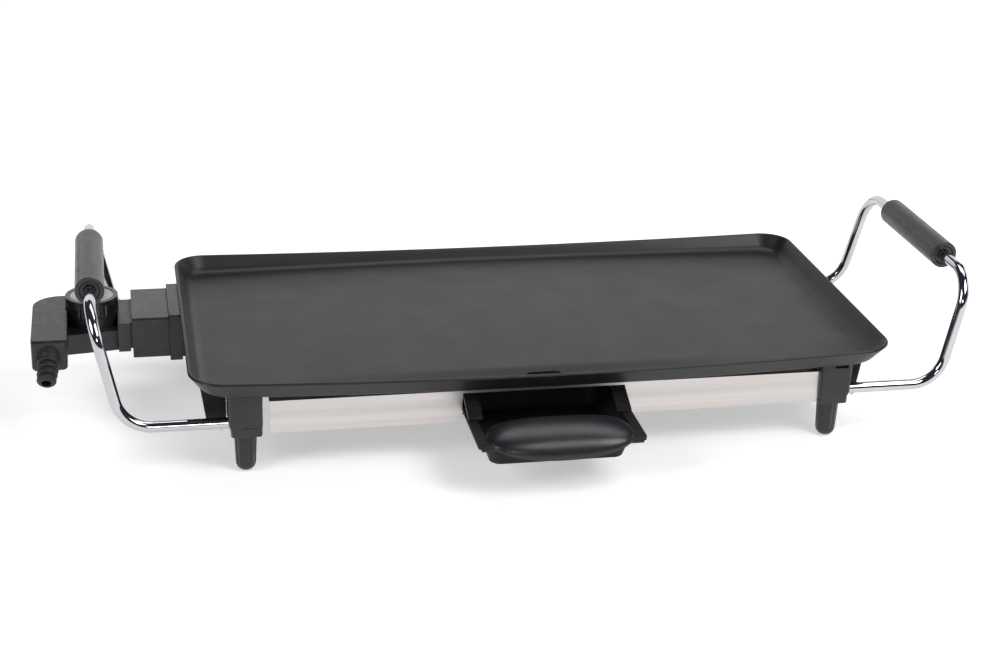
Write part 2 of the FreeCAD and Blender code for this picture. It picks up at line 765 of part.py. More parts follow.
def arched(low_middle, low_end):
    """Room under the pull: its lower edge rises towards both ends."""
    reach = PULL_HALF + 5
    back = PULL_BACK + 5
    end_height = low_middle + (low_end - low_middle) * (reach / PULL_HALF) ** 2
    left = vec(-reach, back, end_height)
    right = vec(reach, back, end_height)
    profile = Part.Wire([
        Part.Arc(left, vec(0, back, low_middle), right).toShape(),
        Part.LineSegment(right, vec(reach, back, 0)).toShape(),
        Part.LineSegment(vec(reach, back, 0), vec(-reach, back, 0)).toShape(),
        Part.LineSegment(vec(-reach, back, 0), left).toShape(),
    ])
    return Part.Face(profile).extrude(vec(0, -40, 0))


def make_tray_handle(tray):
    """Rounded pull that swells over the front of the tray, hollow inside."""
    block = pull_block()
    top = [edge for edge in block.Edges if edge.CenterOfMass.z > PULL_HIGH - 0.01]
    front_top = [edge for edge in top if edge.CenterOfMass.y < PULL_BACK - 1]
    block = block.makeFillet(6.0, front_top)
    block = block.cut(arched(PULL_LOW, PULL_END_LOW))
    hollow = box(-37.0, 37.0, TRAY_FRONT - 0.2, PULL_BACK - PULL_WALL, 0, PULL_HIGH - 4.0)
    skirt_room = box(-60, 60, TRAY_FRONT - 0.2, PULL_BACK + 1, 0, WING_HIGH)
    block = block.cut(hollow).cut(skirt_room)
    block.translate(vec(TRAY_X, 0, 0))
    return largest(block.cut(tray))


def tray_screws():
    return [
        screw(vec(TRAY_X + side * 30, TRAY_FRONT + 7.0, WING_LOW - 1.6), Z_AXIS, 2.1, 1.2, 1.6, 7.0)
        for side in (-1, 1)
    ]


def largest(shape):
    return max(shape.Solids, key=lambda solid: solid.Volume)


# ---- thermostat socket ----

def slab(x0, x1, half_y, half_z, radius):
    """Block along X with rounded long edges, centred on the socket's axis."""
    wire = rounded_outline(half_y, half_z, radius, 0)
    block = Part.Face(wire).extrude(vec(0, 0, x1 - x0))
    block.Placement = FreeCAD.Placement(
        vec(x0, SOCKET_Y, SOCKET_Z), FreeCAD.Rotation(Y_AXIS, Z_AXIS, X_AXIS, "XYZ")
    )
    return block


def make_socket_shroud():
    shroud = slab(SOCKET_MOUTH_X, SOCKET_STEP_X, SOCKET_HALF_Y, SOCKET_HALF_Z, 2.0)
    hollow = slab(
        SOCKET_MOUTH_X - 1, SOCKET_STEP_X + 1,
        SOCKET_HALF_Y - SOCKET_WALL, SOCKET_HALF_Z - SOCKET_WALL, 1.5,
    )
    return shroud.cut(hollow)


def make_socket_collar():
    """Wider flange behind the shroud, with a neck that runs in under the plate."""
    collar = slab(
        SOCKET_STEP_X, SOCKET_END_X,
        SOCKET_HALF_Y + COLLAR_GROWTH, SOCKET_HALF_Z + COLLAR_GROWTH, 2.0,
    )
    neck = box(
        SOCKET_END_X, NECK_END_X, SOCKET_Y - SOCKET_HALF_Y, SOCKET_Y + SOCKET_HALF_Y,
        SOCKET_Z - SOCKET_HALF_Z, PANEL_HIGH - 0.4,
    )
    hollow = box(
        SOCKET_STEP_X - 1, NECK_END_X + 1, SOCKET_Y - CAVITY_HALF_Y, SOCKET_Y + CAVITY_HALF_Y,
        CAVITY_LOW, CAVITY_HIGH,
    )
    return joined([collar, neck]).cut(hollow)


def axis_rod(radius, y, x0, x1):
    """Cylinder along X at the height of the socket's axis."""
    return rod(radius, vec(x0, y, SOCKET_Z), vec(x1, y, SOCKET_Z))


def pin_places():
    return [SOCKET_Y - PIN_SPREAD, SOCKET_Y + PIN_SPREAD]


def make_terminal_block():
    """Insulating block that fills the collar and holds the pins and the probe's guide tube."""
    block = box(
        BLOCK_X, BLOCK_X + BLOCK_LENGTH, SOCKET_Y - CAVITY_HALF_Y, SOCKET_Y + CAVITY_HALF_Y,
        CAVITY_LOW, CAVITY_HIGH,
    )
    for y in pin_places():
        block = block.cut(axis_rod(PIN_R, y, BLOCK_X - 1, BLOCK_X + BLOCK_LENGTH + 1))
    return block.cut(axis_rod(GUIDE_TUBE_R, SOCKET_Y, BLOCK_X - 1, BLOCK_X + BLOCK_LENGTH + 1))


def make_terminal_pins():
    pins = []
    for y in pin_places():
        pin = axis_rod(PIN_R, y, PIN_TIP_X, ELEMENT_START_X)
        tip = [edge for edge in pin.Edges if edge.CenterOfMass.x < PIN_TIP_X + 0.01]
        pins.append(pin.makeChamfer(0.8, tip))
    return pins


def make_guide_tube():
    return tube(
        GUIDE_TUBE_R, PROBE_R + RUNNING_GAP,
        vec(BLOCK_X, SOCKET_Y, SOCKET_Z), vec(GUIDE_TUBE_END, SOCKET_Y, SOCKET_Z),
    )


def socket_screws():
    x = NECK_END_X - 6
    return [
        screw(vec(x, SOCKET_Y + side * 25.2, SOCKET_Z - SOCKET_HALF_Z - 1.6), Z_AXIS, 2.8, 1.4, 1.6, 21.0)
        for side in (-1, 1)
    ]


# ---- thermostat ----

def house_block(inset):
    """Flat body of the thermostat; its front widens towards the dial."""
    right = HOUSE_RIGHT - inset
    left = HOUSE_LEFT - 6.0
    points = [
        vec(right, SOCKET_Y - HOUSE_FRONT_RIGHT + inset, HOUSE_LOW + inset),
        vec(right, SOCKET_Y + HOUSE_REAR - inset, HOUSE_LOW + inset),
        vec(left, SOCKET_Y + HOUSE_REAR - inset, HOUSE_LOW + inset),
        vec(left, SOCKET_Y - HOUSE_FRONT_LEFT + inset, HOUSE_LOW + inset),
    ]
    return prism(points, vec(0, 0, HOUSE_HIGH - HOUSE_LOW - 2 * inset))


def tail_block(inset):
    """Raised arm that turns forwards to the cord entry; its rear outer corner is well rounded."""
    block = box(
        TAIL_LEFT + inset, TAIL_RIGHT - inset, TAIL_FRONT + inset, TAIL_BACK - inset,
        TAIL_LOW + inset, TAIL_HIGH - inset,
    )
    upright = [edge for edge in block.Edges if abs(edge.tangentAt(edge.FirstParameter).z) > 0.9]
    outer_back = [e for e in upright if e.CenterOfMass.x < TAIL_RIGHT - 5 and e.CenterOfMass.y > 0]
    block = block.makeFillet(18.0 - inset, outer_back)
    if inset == 0:
        long_edges = [
            edge for edge in block.Edges
            if abs(edge.tangentAt(edge.FirstParameter).z) < 0.1
            and edge.CenterOfMass.y > TAIL_FRONT + 1
            and edge.CenterOfMass.z < TAIL_LOW + 1
        ]
        block = block.makeFillet(3.0, long_edges)
        front = [e for e in block.Edges if e.CenterOfMass.y < TAIL_FRONT + 0.01]
        block = block.makeFillet(2.0, front)
    return block


def flange_block():
    """Finger rib across the plug end."""
    block = box(
        FLANGE_LEFT, HOUSE_RIGHT, SOCKET_Y - FLANGE_HALF, SOCKET_Y + FLANGE_HALF, FLANGE_LOW, FLANGE_HIGH,
    )
    rear_top = [
        edge for edge in block.Edges
        if edge.CenterOfMass.y > SOCKET_Y + FLANGE_HALF - 0.1 and edge.CenterOfMass.z > FLANGE_HIGH - 0.1
    ]
    return block.makeFillet(6.0, rear_top)


def dial_axis_rod(radius, z0, z1):
    return rod(radius, vec(DIAL_X, SOCKET_Y, z0), vec(DIAL_X, SOCKET_Y, z1))


def make_housing(relief_outer):
    """Hollow thermostat housing, split into a lower base and an upper cover."""
    pedestal = dial_axis_rod(PEDESTAL_R, HOUSE_HIGH - 1, DIAL_LOW - 0.6)
    dial_room = dial_axis_rod(DIAL_R + 0.6, DIAL_LOW - 0.6, TAIL_HIGH + 1)
    outer = joined([house_block(0), tail_block(0).cut(dial_room), flange_block(), pedestal])
    passage = box(
        TAIL_RIGHT - 6, TAIL_RIGHT + 6, SOCKET_Y - 12, SOCKET_Y + 12,
        TAIL_LOW + HOUSE_WALL, HOUSE_HIGH - HOUSE_WALL,
    )
    inner = joined([house_block(HOUSE_WALL), tail_block(HOUSE_WALL), passage])
    inner = inner.cut(box(FLANGE_LEFT - 2, HOUSE_RIGHT + 1, -20, 100, 30, 80))
    shell = outer.cut(inner)
    shell = shell.cut(dial_axis_rod(SHAFT_R + RUNNING_GAP, HOUSE_HIGH - 6, DIAL_LOW + 1))
    shell = shell.cut(relief_outer)
    below = joined([
        box(TAIL_RIGHT, -200, -100, 100, 0, HOUSE_SPLIT),
        box(-400, TAIL_RIGHT, -100, 100, 0, TAIL_SPLIT),
    ])
    base = shell.common(below)
    cover = shell.cut(below)
    return largest(base), largest(cover)


def make_plug_insert():
    """Block that enters the socket and carries the two sleeves and the probe."""
    block = box(
        HOUSE_RIGHT, NOSE_END_X, SOCKET_Y - NOSE_HALF_Y, SOCKET_Y + NOSE_HALF_Y, NOSE_LOW, NOSE_HIGH,
    )
    edges = [edge for edge in block.Edges if abs(edge.tangentAt(edge.FirstParameter).x) > 0.9]
    block = block.makeFillet(1.5, edges)
    for y in pin_places():
        block = block.cut(axis_rod(SLEEVE_R, y, HOUSE_RIGHT + 2, NOSE_END_X + 1))
    return block.cut(axis_rod(PROBE_R, SOCKET_Y, HOUSE_RIGHT - 1, NOSE_END_X + 1))


def make_contact_sleeves():
    return [
        tube(
            SLEEVE_R, PIN_R + RUNNING_GAP,
            vec(HOUSE_RIGHT + 2, y, SOCKET_Z), vec(NOSE_END_X - 1, y, SOCKET_Z),
        )
        for y in pin_places()
    ]


def make_probe():
    probe = axis_rod(PROBE_R, SOCKET_Y, HOUSE_RIGHT, PROBE_TIP)
    tip = [edge for edge in probe.Edges if edge.CenterOfMass.x > PROBE_TIP - 0.01]
    return probe.makeFillet(2.0, tip)


def make_switch():
    """Insulated stack with two contact blades, under the dial's shaft."""
    low = HOUSE_LOW + HOUSE_WALL
    stack = box(-282, -274, SOCKET_Y - 10, SOCKET_Y + 10, low, low + 5.4)
    blades = [
        box(-300, -282, SOCKET_Y + side * 5 - 2, SOCKET_Y + side * 5 + 2, low + 2.4, low + 3.2)
        for side in (-1, 1)
    ]
    return stack, blades


def relief_direction():
    drop = math.radians(RELIEF_DROP_DEG)
    turn = math.radians(RELIEF_TURN_DEG)
    return vec(-math.cos(drop) * math.sin(turn), -math.cos(drop) * math.cos(turn), -math.sin(drop))


def make_relief():
    """Ribbed rubber sleeve; the first shape is solid, the second has its cord bore."""
    along = relief_direction()
    root = vec(RELIEF_X, TAIL_FRONT, RELIEF_Z)
    start = root - along * 5.0
    core = Part.makeCone(RELIEF_ROOT_R, RELIEF_TIP_R, RELIEF_LENGTH + 5.0, start, along)
    rings = [core]
    for step in range(4):
        reach = 4.6 + step * 4.6
        radius = RELIEF_ROOT_R + 0.9 - step * 0.35
        rings.append(rod(radius, root + along * reach, root + along * (reach + 2.2)))
    solid = joined(rings)
    bore = rod(RELIEF_BORE_R, start - along, root + along * (RELIEF_LENGTH + 1))
    return solid, solid.cut(bore)


def make_dial():
    knob = dial_axis_rod(DIAL_R, DIAL_LOW, DIAL_HIGH)
    for step in range(DIAL_FLUTES):
        angle = 2 * math.pi * step / DIAL_FLUTES
        x = DIAL_X + math.cos(angle) * (DIAL_R + 0.55)
        y = SOCKET_Y + math.sin(angle) * (DIAL_R + 0.55)
        knob = knob.cut(rod(1.0, vec(x, y, DIAL_LOW - 1), vec(x, y, DIAL_HIGH - 2.0)))
    knob = knob.cut(dial_axis_rod(FACE_R, DIAL_HIGH - 0.8, DIAL_HIGH + 1))
    return knob.cut(dial_axis_rod(SHAFT_R, DIAL_LOW - 1, DIAL_LOW + 7))


def make_dial_face():
    return dial_axis_rod(FACE_R, DIAL_HIGH - 0.8, DIAL_HIGH - 0.3)


def make_dial_shaft():
    cam_low = HOUSE_HIGH - HOUSE_WALL - 3.4
    shaft = dial_axis_rod(SHAFT_R, cam_low, DIAL_LOW + 7)
    cam = dial_axis_rod(5.4, cam_low, cam_low + 2.6)
    return joined([shaft, cam.cut(box(DIAL_X + 2.5, DIAL_X + 9, 0, 80, 30, 80))])


# ---- the whole object ----

def build_all():
    parts = {}
    element = make_element(ELEMENT_R)
    straps, clip_screws, lugs = make_element_clips()
    fixings = {
        "clip_screws": clip_screws,
        "strip_screws": strip_screws(),
        "panel_screws": panel_screws(),
        "guide_screws": guide_screws(),
        "socket_screws": socket_screws(),
        "tray_screws": tray_screws(),
        "leg_studs": [rod(STUD_R, vec(x, y, STUD_LOW), vec(x, y, STUD_HIGH)) for x, y in leg_places()],
    }
    plate = joined([make_plate(element)] + lugs)
    plate_fixings = ("clip_screws", "strip_screws", "panel_screws", "guide_screws", "socket_screws", "leg_studs")
    for name in plate_fixings:
        plate = without(plate, fixings[name])
    parts["griddle_plate"] = plate
    parts["heating_element"] = element
    parts["element_clips"] = Part.makeCompound([without(strap, clip_screws) for strap in straps])

    front_left = make_leg()
    front_right = side_mirror(front_left).cut(latch_slot())
    parts["leg_front_left"] = front_left
    parts["leg_front_right"] = front_right
    parts["leg_rear_left"] = end_mirror(front_left)
    parts["leg_rear_right"] = end_mirror(front_right)
    names = ("foot_front_left", "foot_rear_left", "foot_front_right", "foot_rear_right")
    for name, (x, y) in zip(names, leg_places()):
        parts[name] = make_foot(x, y)

    handle = make_handle_rod()
    grip = make_grip()
    parts["handle_rod_right"] = handle
    parts["handle_rod_left"] = side_mirror(handle)
    parts["handle_grip_right"] = grip
    parts["handle_grip_left"] = side_mirror(grip)

    parts["front_strip"] = without(make_front_strip(), fixings["strip_screws"])
    parts["rear_strip"] = without(make_rear_strip(), fixings["strip_screws"])
    collar = without(make_socket_collar().cut(plate), fixings["socket_screws"])
    panel = make_end_panel().cut(plate)
    doorway = box(
        -PANEL_TOP_X - 1, NECK_END_X + 20, SOCKET_Y - SOCKET_HALF_Y - 0.2, SOCKET_Y + SOCKET_HALF_Y + 0.2,
        SOCKET_Z - SOCKET_HALF_Z - 3.2, PANEL_HIGH + 1,
    )
    parts["end_panel_left"] = without(panel.cut(doorway), fixings["panel_screws"])
    parts["end_panel_right"] = without(side_mirror(panel), fixings["panel_screws"])

    tray = make_drip_tray()
    parts["tray_guide"] = without(make_tray_guide().cut(plate), fixings["guide_screws"])
    parts["drip_tray"] = without(tray, fixings["tray_screws"])
    parts["tray_handle"] = without(make_tray_handle(tray), fixings["tray_screws"])

    parts["socket_shroud"] = make_socket_shroud()
    parts["socket_collar"] = collar
    parts["terminal_block"] = make_terminal_block()
    parts["terminal_pins"] = Part.makeCompound(make_terminal_pins())
    parts["probe_guide"] = make_guide_tube()

    relief_solid, relief = make_relief()
    base, cover = make_housing(relief_solid)
    stack, blades = make_switch()
    parts["housing_base"] = base
    parts["housing_cover"] = cover
    parts["strain_relief"] = relief
    parts["plug_insert"] = make_plug_insert()
    parts["contact_sleeves"] = Part.makeCompound(make_contact_sleeves())
    parts["probe_rod"] = make_probe()
    parts["switch_stack"] = stack
    parts["contact_blades"] = Part.makeCompound(blades)
    parts["control_dial"] = make_dial()
    parts["dial_face"] = make_dial_face()
    parts["dial_shaft"] = make_dial_shaft()

    for name, group in fixings.items():
        parts[name] = Part.makeCompound(group)
    return parts


def way_to_origin(shapes):
    """Move that puts the middle of the bounding box's bottom at the origin."""
    points = [point for shape in shapes for point in shape.tessellate(0.05)[0]]
    across = [point.x for point in points]
    along = [point.y for point in points]
    lowest = min(point.z for point in points)
    return vec(-(min(across) + max(across)) / 2, -(min(along) + max(along)) / 2, -lowest)


def main():
    os.makedirs("parts", exist_ok=True)
    parts = build_all()
    to_origin = way_to_origin(parts.values())
    print("origin moved by", [round(value, 3) for value in to_origin])
    for name, shape in sorted(parts.items()):
        shape.translate(to_origin)
        shape.exportStep("parts/" + name + ".step")
        print(name, len(shape.Solids), "solids", round(shape.Volume), "mm3", shape.isValid())


main()
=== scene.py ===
import bpy
import bmesh
from math import atan2, cos, degrees, pi, radians, sin, tan
from mathutils import Matrix, Vector


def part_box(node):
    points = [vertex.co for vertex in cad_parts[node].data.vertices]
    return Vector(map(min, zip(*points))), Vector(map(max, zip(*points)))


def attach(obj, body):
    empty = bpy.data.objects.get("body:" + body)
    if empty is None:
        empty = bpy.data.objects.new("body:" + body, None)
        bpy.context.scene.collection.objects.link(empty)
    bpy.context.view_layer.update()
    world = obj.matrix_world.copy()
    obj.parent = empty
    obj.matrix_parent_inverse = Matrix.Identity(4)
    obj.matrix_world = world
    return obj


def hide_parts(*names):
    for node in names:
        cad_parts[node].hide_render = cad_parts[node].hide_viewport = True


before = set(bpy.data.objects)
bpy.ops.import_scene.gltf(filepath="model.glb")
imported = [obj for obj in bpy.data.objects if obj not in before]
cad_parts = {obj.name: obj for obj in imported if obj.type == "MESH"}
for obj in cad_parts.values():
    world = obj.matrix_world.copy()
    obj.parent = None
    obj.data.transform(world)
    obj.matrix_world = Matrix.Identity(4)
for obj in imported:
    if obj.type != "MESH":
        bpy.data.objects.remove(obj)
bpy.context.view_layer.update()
print("frame loaded:", len(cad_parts), "nodes")

mm = 0.001
plateLow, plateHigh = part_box("griddle_plate")
plateMiddle = Vector(((plateLow.x + plateHigh.x) / 2, (plateLow.y + plateHigh.y) / 2, 0))


# sizes below are millimetres from the middle of the plate, at table height
def at(x, y, z):
    return plateMiddle + Vector((x, y, z)) * mm


def back(point):
    return (point - plateMiddle) / mm


# hand tools

def choose(obj):
    if bpy.context.mode != "OBJECT":
        bpy.ops.object.mode_set(mode="OBJECT")
    bpy.ops.object.select_all(action="DESELECT")
    obj.select_set(True)
    bpy.context.view_layer.objects.active = obj


def edit(obj):
    choose(obj)
    bpy.ops.object.mode_set(mode="EDIT")


def leaveEdit():
    bpy.ops.object.mode_set(mode="OBJECT")


def pick(kind, test):
    bpy.ops.mesh.select_mode(type=kind)
    bpy.ops.mesh.select_all(action="DESELECT")
    data = bpy.context.edit_object.data
    shape = bmesh.from_edit_mesh(data)
    parts = {"VERT": shape.verts, "EDGE": shape.edges, "FACE": shape.faces}[kind]
    for part in parts:
        if test(part):
            part.select_set(True)
    bmesh.update_edit_mesh(data)


def middleOf(part):
    points = [v.co for v in part.verts]
    return back(sum(points, Vector()) / len(points))


def settle(obj, name):
    obj.name = name
    obj.data.name = name
    choose(obj)
    bpy.ops.object.transform_apply(location=True, rotation=True, scale=True)
    return obj


def newBlock(name, low, high):
    bpy.ops.object.select_all(action="DESELECT")
    bpy.ops.mesh.primitive_cube_add(size=1, location=(low + high) / 2, scale=high - low)
    return settle(bpy.context.object, name)


def newDrum(name, radius, start, end, sides=48):
    bpy.ops.object.select_all(action="DESELECT")
    along = end - start
    turn = along.to_track_quat("Z", "Y").to_euler()
    bpy.ops.mesh.primitive_cylinder_add(
        vertices=sides, radius=radius, depth=along.length, location=(start + end) / 2, rotation=turn)
    return settle(bpy.context.object, name)


def newRing(name, radius, place, along, sides=32, fill="NOTHING"):
    bpy.ops.object.select_all(action="DESELECT")
    turn = along.to_track_quat("Z", "Y").to_euler()
    bpy.ops.mesh.primitive_circle_add(
        vertices=sides, radius=radius, location=place, rotation=turn, fill_type=fill)
    return settle(bpy.context.object, name)


def push(move):
    bpy.ops.mesh.extrude_region_move(TRANSFORM_OT_translate={"value": move})


def grow(x, y, z, centre):
    bpy.ops.transform.resize(value=(x, y, z), center_override=centre)


def cutAcross(place, normal, **how):
    bpy.ops.mesh.select_all(action="SELECT")
    bpy.ops.mesh.bisect(plane_co=place, plane_no=normal, **how)


def applyAll(obj):
    choose(obj)
    for modifier in list(obj.modifiers):
        bpy.ops.object.modifier_apply(modifier=modifier.name)


def combine(obj, tool, how):
    step = obj.modifiers.new(how.lower(), "BOOLEAN")
    step.operation = how
    step.solver = "EXACT"
    step.object = tool
    applyAll(obj)
    bpy.data.objects.remove(tool)


# breaks the sharp edges; the bevelled faces take the pale edge finish, which stands for wear and is also a
# painted edge highlight
def roundOff(obj, width, segments=3, angle=35, worn=True):
    step = obj.modifiers.new("edges", "BEVEL")
    step.width = width * mm
    step.segments = segments
    step.limit_method = "ANGLE"
    step.angle_limit = radians(angle)
    step.miter_outer = "MITER_ARC"
    step.use_clamp_overlap = True
    if worn:
        step.material = 1
    applyAll(obj)


def smooth(obj, angle=40):
    choose(obj)
    bpy.ops.object.shade_smooth_by_angle(angle=radians(angle))
    step = obj.modifiers.new("normals", "WEIGHTED_NORMAL")
    step.keep_sharp = True
    step.weight = 80
    applyAll(obj)


def subdivide(obj, levels):
    step = obj.modifiers.new("subdivision", "SUBSURF")
    step.levels = levels
    step.render_levels = levels
    applyAll(obj)


# a copied drawing is welded in metres and its flat faces joined, in degrees
copyClean = {"weld": 0.000005, "flat": 1.5}

# inset of a wall that runs almost straight in
sheer = 0.01


def copyFrom(node, name):
    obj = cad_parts[node].copy()
    obj.data = obj.data.copy()
    obj.name = name
    obj.data.name = name
    obj.parent = None
    bpy.context.scene.collection.objects.link(obj)
    edit(obj)
    bpy.ops.mesh.customdata_custom_splitnormals_clear()
    bpy.ops.mesh.select_all(action="SELECT")
    bpy.ops.mesh.remove_doubles(threshold=copyClean["weld"])
    bpy.ops.mesh.dissolve_limited(angle_limit=radians(copyClean["flat"]))
    leaveEdit()
    return obj


# finishes: two tones that cloud into each other, a fine grain, and a pale colour for bevelled edges, partly
# wear and partly a painted highlight
# sizes of clouds and grain are millimetres

# each entry's edge colour is the pale tone of its bevels, wear plus a painted edge highlight; the grain's
# specks borrow it too
finishes = {
    "nonstick_plate": {
        "tones": ((0.011, 0.011, 0.012), (0.014, 0.014, 0.0155)), "rough": (0.38, 0.43), "gloss": 0.34,
        "cloud": 75, "grain": 1.1, "bump": 0.35, "depth": 0.05, "edge": (0.06, 0.06, 0.064)},
    "bakelite": {
        "tones": ((0.014, 0.014, 0.015), (0.023, 0.023, 0.024)), "rough": (0.24, 0.34), "gloss": 0.40,
        "cloud": 14, "grain": 0.7, "bump": 0.16, "depth": 0.04, "edge": (0.055, 0.055, 0.057)},
    "foot_plastic": {
        "tones": ((0.014, 0.014, 0.015), (0.024, 0.024, 0.025)), "rough": (0.24, 0.34), "gloss": 0.40,
        "cloud": 9, "grain": 1.2, "bump": 0.12, "depth": 0.03, "edge": (0.05, 0.05, 0.052)},
    "chrome_wire": {
        "tones": ((0.47, 0.47, 0.48), (0.53, 0.53, 0.545)), "rough": (0.05, 0.11), "metal": 1.0,
        "cloud": 22, "grain": 4.0, "bump": 0.03, "depth": 0.02, "edge": (0.7, 0.7, 0.72)},
    "grip_plastic": {
        "tones": ((0.018, 0.018, 0.019), (0.028, 0.028, 0.030)), "rough": (0.30, 0.42),
        "cloud": 12, "grain": 0.8, "bump": 0.16, "depth": 0.04, "edge": (0.05, 0.05, 0.053)},
    "brushed_strip": {
        "tones": ((0.53, 0.50, 0.475), (0.62, 0.59, 0.565)), "rough": (0.30, 0.44), "metal": 1.0,
        "cloud": 6, "grain": 0.5, "stretch": (0.012, 1, 1), "bump": 0.18, "depth": 0.02,
        "edge": (0.78, 0.77, 0.75)},
    "black_sheet": {
        "tones": ((0.004, 0.004, 0.0045), (0.007, 0.007, 0.008)), "rough": (0.55, 0.70), "gloss": 0.3,
        "cloud": 20, "grain": 0.6, "bump": 0.2, "depth": 0.04, "edge": (0.04, 0.04, 0.042)},
    "tray_plastic": {
        "tones": ((0.015, 0.015, 0.016), (0.022, 0.022, 0.023)), "rough": (0.50, 0.60), "gloss": 0.15,
        "cloud": 18, "grain": 0.9, "bump": 0.15, "depth": 0.04, "edge": (0.05, 0.05, 0.052)},
    "gloss_pull": {
        "tones": ((0.007, 0.007, 0.009), (0.011, 0.010, 0.014)), "rough": (0.30, 0.36),
        "cloud": 25, "grain": 2.5, "bump": 0.03, "depth": 0.03, "edge": (0.03, 0.03, 0.032)},
    "thermostat_plastic": {
        "tones": ((0.010, 0.010, 0.011), (0.017, 0.017, 0.018)), "rough": (0.30, 0.40),
        "cloud": 16, "grain": 1.6, "bump": 0.10, "depth": 0.04, "edge": (0.05, 0.05, 0.052)},
    "dial_plastic": {
        "tones": ((0.008, 0.008, 0.009), (0.013, 0.013, 0.014)), "rough": (0.14, 0.24),
        "cloud": 8, "grain": 1.2, "bump": 0.08, "depth": 0.03, "edge": (0.04, 0.04, 0.042)},
    "dial_silver": {
        "tones": ((0.40, 0.40, 0.41), (0.50, 0.50, 0.51)), "rough": (0.30, 0.42), "metal": 1.0,
        "cloud": 7, "grain": 0.4, "stretch": (0.05, 1, 1), "bump": 0.10, "depth": 0.01,
        "edge": (0.8, 0.8, 0.8)},
    "relief_rubber": {
        "tones": ((0.008, 0.008, 0.009), (0.014, 0.014, 0.015)), "rough": (0.50, 0.62),
        "cloud": 6, "grain": 0.5, "bump": 0.22, "depth": 0.04, "edge": (0.045, 0.045, 0.047)},
    "steel_tube": {
        "tones": ((0.34, 0.33, 0.31), (0.46, 0.44, 0.42)), "rough": (0.32, 0.48), "metal": 1.0,
        "cloud": 12, "grain": 0.6, "bump": 0.15, "depth": 0.03, "edge": (0.6, 0.6, 0.6)},
    "zinc_steel": {
        "tones": ((0.50, 0.50, 0.48), (0.62, 0.62, 0.60)), "rough": (0.30, 0.46), "metal": 1.0,
        "cloud": 5, "grain": 0.5, "bump": 0.14, "depth": 0.02, "edge": (0.7, 0.7, 0.7)},
    "ceramic": {
        "tones": ((0.62, 0.58, 0.50), (0.72, 0.69, 0.62)), "rough": (0.55, 0.70),
        "cloud": 7, "grain": 0.5, "bump": 0.2, "depth": 0.04, "edge": (0.8, 0.78, 0.72)},
    "contact_brass": {
        "tones": ((0.62, 0.43, 0.18), (0.72, 0.52, 0.24)), "rough": (0.26, 0.40), "metal": 1.0,
        "cloud": 6, "grain": 0.6, "bump": 0.1, "depth": 0.02, "edge": (0.8, 0.62, 0.34)},
    "scale_ink": {
        "tones": ((0.02, 0.02, 0.022), (0.035, 0.035, 0.037)), "rough": (0.40, 0.55),
        "cloud": 3, "grain": 0.3, "bump": 0.05, "depth": 0.01, "edge": (0.05, 0.05, 0.05)},
    "pointer_red": {
        "tones": ((0.50, 0.02, 0.015), (0.62, 0.035, 0.02)), "rough": (0.34, 0.48),
        "cloud": 2, "grain": 0.3, "bump": 0.05, "depth": 0.01, "edge": (0.6, 0.05, 0.04)},
}


# where clouds and specks begin and end, and how much smoother the pale edge finish is
finishBlend = {"cloudLow": 0.3, "cloudHigh": 0.7, "speckLow": 0.62, "speckHigh": 0.80, "specks": 0.25,
               "wornRough": 0.8, "roughCloud": 0.37}


def makeFinish(name, values, worn=False):
    material = bpy.data.materials.new(name)
    material.use_nodes = True
    tree = material.node_tree
    tree.nodes.clear()
    wire = tree.links.new

    def node(kind, **settings):
        made = tree.nodes.new("ShaderNode" + kind)
        for key, value in settings.items():
            setattr(made, key, value)
        return made

    shader = node("BsdfPrincipled")
    shader.inputs["Metallic"].default_value = values.get("metal", 0.0)
    shader.inputs["Specular IOR Level"].default_value = values.get("gloss", 0.5)
    wire(shader.outputs["BSDF"], node("OutputMaterial").inputs["Surface"])

    place = node("Mapping")
    place.inputs["Scale"].default_value = values.get("stretch", (1, 1, 1))
    wire(node("TexCoord").outputs["Object"], place.inputs["Vector"])

    def noise(size, detail):
        made = node("TexNoise")
        made.inputs["Scale"].default_value = 1 / (size * mm)
        made.inputs["Detail"].default_value = detail
        wire(place.outputs["Vector"], made.inputs["Vector"])
        return made.outputs["Fac"]

    cloud = noise(values["cloud"], 5)
    grain = noise(values["grain"], 2)

    light, dark = values["tones"][1], values["tones"][0]
    # the edge finish swaps the lighter tone for the pale edge colour: wear, and a painted highlight along
    # every bevel
    if worn:
        light = values["edge"]
    tint = node("Mix", data_type="RGBA")
    tint.inputs["A"].default_value = (*dark, 1)
    tint.inputs["B"].default_value = (*light, 1)
    spread = node("MapRange")
    spread.inputs["From Min"].default_value = finishBlend["cloudLow"]
    spread.inputs["From Max"].default_value = finishBlend["cloudHigh"]
    wire(cloud, spread.inputs["Value"])
    wire(spread.outputs["Result"], tint.inputs["Factor"])

    # tiny light specks where the grain peaks
    specks = node("MapRange")
    specks.inputs["From Min"].default_value = finishBlend["speckLow"]
    specks.inputs["From Max"].default_value = finishBlend["speckHigh"]
    specks.inputs["To Max"].default_value = finishBlend["specks"]
    wire(grain, specks.inputs["Value"])
    speckled = node("Mix", data_type="RGBA")
    speckled.inputs["B"].default_value = (*values["edge"], 1)
    wire(specks.outputs["Result"], speckled.inputs["Factor"])
    wire(tint.outputs["Result"], speckled.inputs["A"])
    wire(speckled.outputs["Result"], shader.inputs["Base Color"])

    low, high = values["rough"]
    polish = finishBlend["wornRough"] if worn else 1
    roughness = node("MapRange")
    roughness.inputs["From Min"].default_value = finishBlend["cloudLow"]
    roughness.inputs["From Max"].default_value = finishBlend["cloudHigh"]
    roughness.inputs["To Min"].default_value = low * polish
    roughness.inputs["To Max"].default_value = high * polish
    wire(noise(values["cloud"] * finishBlend["roughCloud"], 4), roughness.inputs["Value"])
    wire(roughness.outputs["Result"], shader.inputs["Roughness"])

    bump = node("Bump")
    bump.inputs["Strength"].default_value = values["bump"]
    bump.inputs["Distance"].default_value = values["depth"] * mm
    wire(grain, bump.inputs["Height"])
    wire(bump.outputs["Normal"], shader.inputs["Normal"])
    return material


